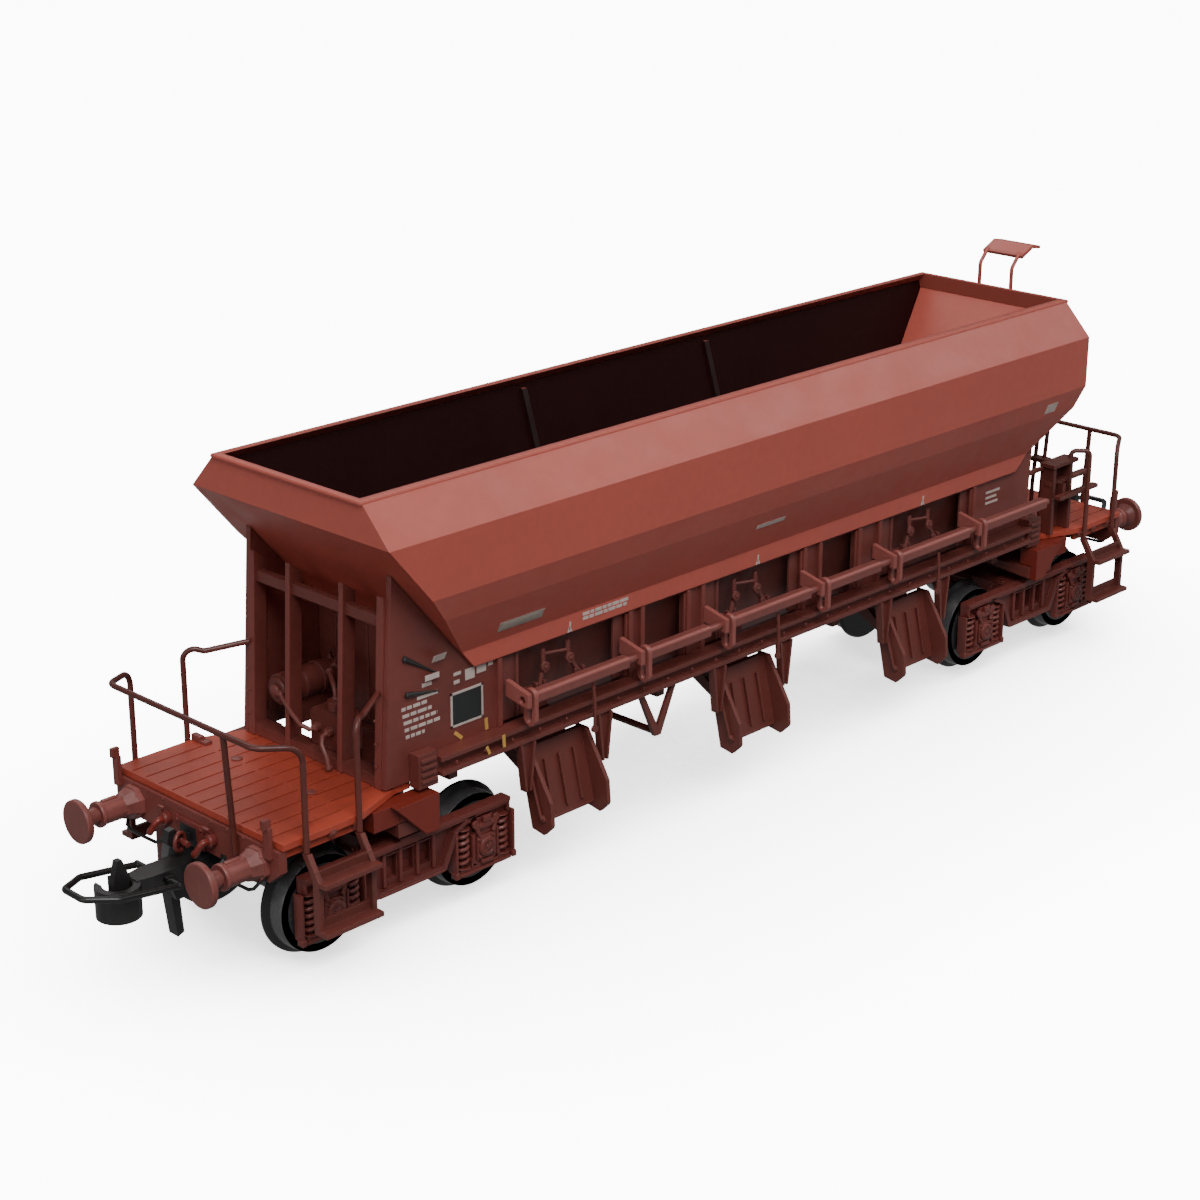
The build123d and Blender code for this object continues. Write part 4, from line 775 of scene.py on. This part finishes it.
def make_buffer_trim():
    """Base plate bolts, collar and slot cover of every buffer sleeve, and a face on its head."""
    piece = Piece("buffer_trim")
    bolt_reach = 1.104
    collar = ((0.95, 0), (1.34, 0.0), (1.4, 0.08), (1.4, 0.42), (1.34, 0.5), (0.95, 0.5))
    head = ((0.0001, 0), (2.1, 0.0), (2.2, -0.05), (1.9, -0.3), (0.0001, -0.3))
    for end in SIDES:
        for side in SIDES:
            y = side * BUFFER_Y
            for dy in (-bolt_reach, bolt_reach):
                for dz in (-bolt_reach, bolt_reach):
                    piece.bolt((end * 73.15, y + dy, BUFFER_Z + dz), (end, 0, 0), 0.2, 0.16)
            piece.lathe(collar, (end * 76.92, y, BUFFER_Z), (end, 0, 0), sides=28)
            piece.box((end * 74.9, end * 76.7), (y - 0.25, y + 0.25), (14.35, 14.62), edge=0.1)
            piece.lathe(head, (end * 79.89, y, BUFFER_Z), (end, 0, 0), sides=36)
    piece.done(buffer_red, "body")


def make_deck_trim():
    """Curb blocks at the outer corners of the decks, sockets of the rail posts, edge bolts."""
    piece = Piece("deck_trim")
    for end in SIDES:
        piece.box((end * 61.9, end * 62.9), (11.0, 13.4), (15.95, 16.35), edge=0.1)
        piece.box((end * 62.2, end * 62.9), (11.9, 13.4), (16.3, 16.75), edge=0.1)
        for x in (62.9, 66.0, 69.4):
            for side in SIDES:
                width = (side * 13.0, side * 13.6)
                piece.box((end * (x - 0.45), end * (x + 0.45)), width, (14.9, 15.6), edge=0.12)
                piece.bolt((end * x, width[1], 15.25), (0, side, 0), 0.16, 0.1)
        for i in range(9):
            y = -10.4 + 2.6 * i
            piece.bolt((end * HEADSTOCK_X, y, 15.0), (end, 0, 0), 0.14, 0.09)
    piece.done(frame_red, "body")


def make_pipe_runs():
    """Air pipes of the brake valve and cylinder with their unions, and the cylinder's bands."""
    piece = Piece("air_pipes")
    union = ((0.3, 0), (0.42, 0.05), (0.42, 0.4), (0.3, 0.45))
    band = ((1.68, 0), (1.82, 0.03), (1.82, 0.37), (1.68, 0.4))
    boss = ((0.3, 0), (0.7, 0.05), (0.7, 0.3), (0.3, 0.5))
    runs = (
        (
            (-56.5, -1.6, 19.4), (-57.4, -1.7, 19.2), (-57.9, -2.2, 18.6), (-58.0, -3.0, 17.6),
            (-58.0, -3.4, 16.2),
        ),
        (
            (-56.5, 0.4, 19.4), (-57.2, 0.6, 19.3), (-57.5, 1.6, 19.6), (-57.3, 3.4, 20.4),
            (-56.9, 5.0, 21.2), (-56.5, 6.2, CYLINDER_Z),
        ),
        (
            (-54.8, -0.9, 22.2), (-54.8, -0.9, 23.2), (-54.6, -0.4, 23.8), (-54.0, 0.6, 24.0),
            (-52.8, 2.4, 24.1),
        ),
        (
            (-49.0, CYLINDER_Y, 22.9), (-49.0, CYLINDER_Y, 23.9), (-49.3, 6.0, 24.5),
            (-50.2, 4.0, 24.6), (-52.0, 2.6, 24.2),
        ),
    )
    for run in runs:
        piece.rod(run, 0.26)
        for spot, after in ((run[0], run[1]), (run[-1], run[-2])):
            along = Vector(after) - Vector(spot)
            piece.lathe(union, spot, along, sides=6)
    for x in (-53.6, -51.2):
        piece.lathe(band, (x, CYLINDER_Y, CYLINDER_Z), (1, 0, 0), sides=32)
    piece.lathe(boss, (-56.4, CYLINDER_Y, CYLINDER_Z), (-1, 0, 0), sides=18)
    piece.done(gear_red, "body")


def make_chute_trim():
    """Hinge pins, links, rolled lips, ribs and hanging levers on the ballast chutes."""
    piece = Piece("chute_trim")
    slope = ((12.05, 13.2), (12.3, 13.2), (13.6, 7.6), (13.25, 7.6))
    eye = ((0.1, 0), (0.4, 0), (0.4, 0.35), (0.1, 0.35))
    for x in CHUTES:
        for side in SIDES:
            for sign in (-1, 1):
                face = x + sign * 4.5
                piece.bolt((face, side * 14.3, 7.6), (sign, 0, 0), 0.45, 0.22)
                piece.bolt((face, side * 12.4, 13.6), (sign, 0, 0), 0.35, 0.2)
                link = (
                    (face + sign * 0.25, side * 12.4, 13.6),
                    (face + sign * 0.35, side * 13.4, 10.6),
                    (face + sign * 0.25, side * 14.3, 7.6),
                )
                piece.rod(link, 0.17)
            piece.rod(((x - 4.0, side * 13.25, 6.7), (x + 4.0, side * 13.25, 6.7)), 0.26)
            for shift in (-2.2, 0.0, 2.2):
                rib = [(side * y, z) for y, z in slope]
                piece.prism(rib, "x", x + shift - 0.14, x + shift + 0.14)
            # slim lever that hangs from the shaft in front of each chute
            lever = (
                (x + 3.0, side * 14.4, 20.9), (x + 3.1, side * 14.5, 18.4),
                (x + 3.3, side * 14.3, 15.6),
            )
            piece.rod(lever, 0.2)
            piece.lathe(eye, (x + 3.3, side * 14.1, 15.6), (0, side, 0))
    piece.done(under_shade_red, "body")


def make_bulkheads():
    """Ribbed plates that close the frame behind the end posts."""
    piece = Piece("bulkheads")
    foot, half = 16.6, 10.6
    for x, top in ((-47.1, 28.0), (50.5, 27.1)):
        piece.box((x - 0.2, x + 0.2), (-half, half), (foot, top))
        for y in (-7.8, -2.6, 2.6, 7.8):
            piece.box((x - 0.4, x + 0.1), (y - 0.2, y + 0.2), (foot + 0.2, top - 0.4))
    piece.done(under_shade_red, "body")


def make_end_trim():
    """Rivets on the corner posts under the hopper's ends, and covers on the decks."""
    piece = Piece("end_trim")
    for end, post in ((-1, -56.4), (1, 53.4)):
        for side in SIDES:
            for z in (18.5, 21.0, 23.5):
                piece.bolt((post + end * 1.1, side * 10.2, z), (end, 0, 0), 0.16, 0.1)
    cover = ((0.2, 0), (0.55, 0.0), (0.6, 0.06), (0.6, 0.12), (0.2, 0.2))
    for x in (-62.6, 62.6):
        for y in (-6.0, 6.0):
            piece.lathe(cover, (x, y, 16.0), (0, 0, 1))
    piece.done(frame_red, "body")


for bogie_end, bogie_centre in BOGIES:
    make_springs(bogie_end, bogie_centre)
    make_bogie_trim(bogie_end, bogie_centre)
    make_axlebox_faces(bogie_end, bogie_centre)
    make_bogie_tops(bogie_end, bogie_centre)
wheel_places = [pivot + shift for _, pivot in BOGIES for shift in (-HALF_BASE, HALF_BASE)]
for wheel_number, wheel_x in enumerate(wheel_places, start=1):
    make_wheel_rims(wheel_number, wheel_x)
make_rim_lip()
make_side_gear()
make_frame_trim()
make_marks()
make_grips()
make_draw_gear()
make_buffer_trim()
make_deck_trim()
make_pipe_runs()
make_chute_trim()
make_bulkheads()
make_end_trim()


# ---------------------------------------------------------------- floor, light, camera
STUDIO_WHITE = 11.0


def flat_sheet(name, half, z):
    """Square sheet that lies level at a height; metres."""
    mesh = bpy.data.meshes.new(name)
    corners = [(-half, -half, z), (half, -half, z), (half, half, z), (-half, half, z)]
    mesh.from_pydata(corners, [], [(0, 1, 2, 3)])
    sheet = bpy.data.objects.new(name, mesh)
    bpy.context.collection.objects.link(sheet)
    return sheet


def make_floor():
    """White studio floor that keeps its own brightness, with a painted soft shadow under the car.
    """
    floor = flat_sheet("floor", 6.0, 0.0)
    material, tree, shader = shader_material("floor_white")
    shader.inputs["Base Color"].default_value = (0.9, 0.9, 0.9, 1)
    shader.inputs["Roughness"].default_value = 0.9
    shader.inputs["Specular IOR Level"].default_value = 0.1
    shader.inputs["Emission Color"].default_value = (1, 1, 1, 1)
    # painted shadow: the floor's glow drops where the car is close above it
    painted_shadow_ao = tree.nodes.new("ShaderNodeAmbientOcclusion")
    painted_shadow_ao.samples = 8
    painted_shadow_ao.inputs["Distance"].default_value = 0.055
    glow = map_range(tree, painted_shadow_ao.outputs["AO"], 0.25, 1.0, 1.6, STUDIO_WHITE)
    tree.links.new(glow, shader.inputs["Emission Strength"])
    floor.data.materials.append(material)
    floor.visible_diffuse = False
    floor.visible_glossy = False


def make_floor_glow():
    """The same floor as the shiny parts reflect it."""
    sheet = flat_sheet("floor_glow", 0.6, -0.0004)
    material, _, shader = shader_material("floor_glow")
    shader.inputs["Base Color"].default_value = (0.02, 0.02, 0.02, 1)
    shader.inputs["Emission Color"].default_value = (1, 1, 1, 1)
    shader.inputs["Emission Strength"].default_value = 0.28
    sheet.data.materials.append(material)
    sheet.visible_camera = False
    sheet.visible_diffuse = False
    sheet.visible_shadow = False


def make_backdrop():
    """Round white wall that stands far behind the car and only the camera sees."""
    mesh = bpy.data.meshes.new("backdrop")
    sides, radius, foot, top = 64, 5.9, -0.01, 6.0
    ring = []
    for z in (foot, top):
        for k in range(sides):
            turn = 2 * math.pi * k / sides
            ring.append((radius * math.cos(turn), radius * math.sin(turn), z))
    faces = [(k, (k + 1) % sides, sides + (k + 1) % sides, sides + k) for k in range(sides)]
    mesh.from_pydata(ring, [], faces)
    wall = bpy.data.objects.new("backdrop", mesh)
    bpy.context.collection.objects.link(wall)
    material, _, shader = shader_material("backdrop_white")
    shader.inputs["Base Color"].default_value = (0.9, 0.9, 0.9, 1)
    shader.inputs["Emission Color"].default_value = (1, 1, 1, 1)
    shader.inputs["Emission Strength"].default_value = STUDIO_WHITE
    mesh.materials.append(material)
    wall.visible_diffuse = False
    wall.visible_glossy = False
    wall.visible_shadow = False


def area_light(name, direction, distance, size, power):
    """Square softbox that stands off from the middle of the car and faces it."""
    light = bpy.data.lights.new(name, "AREA")
    light.energy = power
    light.size = size
    lamp = bpy.data.objects.new(name, light)
    bpy.context.collection.objects.link(lamp)
    target = Vector((0, 0, 0.03))
    lamp.location = target + Vector(direction).normalized() * distance
    lamp.rotation_mode = "QUATERNION"
    lamp.rotation_quaternion = (target - lamp.location).to_track_quat("-Z", "Y")


def make_camera():
    """Camera of the matched view, aimed a little above the middle of the car and shifted."""
    azimuth, elevation, roll = (math.radians(v) for v in (AZIMUTH, ELEVATION, ROLL))
    back = Vector((
        math.sin(azimuth) * math.cos(elevation),
        -math.cos(azimuth) * math.cos(elevation),
        math.sin(elevation),
    ))
    right = Vector((math.cos(azimuth), math.sin(azimuth), 0))
    up = back.cross(right)
    rolled_right = right * math.cos(roll) + up * math.sin(roll)
    rolled_up = up * math.cos(roll) - right * math.sin(roll)
    camera = bpy.data.cameras.new("camera")
    camera.lens = FOCAL_LENGTH
    camera.sensor_width = SENSOR_WIDTH
    camera.clip_start = 0.01
    camera.clip_end = 20
    holder = bpy.data.objects.new("camera", camera)
    bpy.context.collection.objects.link(holder)
    basis = Matrix((rolled_right, rolled_up, back)).transposed()
    holder.rotation_mode = "QUATERNION"
    holder.rotation_quaternion = basis.to_quaternion()
    shift = rolled_right * SHIFT_RIGHT + rolled_up * SHIFT_UP
    holder.location = (Vector(AIM) + back * DISTANCE + shift) * MM
    bpy.context.scene.camera = holder


def make_world():
    """Pale sky, dimmer from the horizon down."""
    world = bpy.data.worlds.new("studio")
    world.use_nodes = True
    tree = world.node_tree
    background = tree.nodes["Background"]
    place = tree.nodes.new("ShaderNodeTexCoord")
    parts = tree.nodes.new("ShaderNodeSeparateXYZ")
    tree.links.new(place.outputs["Generated"], parts.inputs[0])
    shades = ((0.0, (0.4, 0.4, 0.4)), (0.02, (0.9, 0.9, 0.9)), (1.0, (1, 1, 1)))
    sky = ramp(tree, parts.outputs["Z"], shades)
    tree.links.new(sky, background.inputs[0])
    background.inputs[1].default_value = 0.22
    bpy.context.scene.world = world


make_floor()
make_floor_glow()
make_backdrop()
make_world()
area_light("key", (-0.40, -0.62, 0.80), 0.7, 0.35, 3.7)
area_light("side", (0.67, -0.37, 0.63), 0.7, 0.35, 1.0)
area_light("end", (-0.9, -0.12, 0.28), 0.7, 0.35, 0.9)
area_light("back", (0.2, 0.6, 0.8), 0.7, 0.4, 1.2)
make_camera()
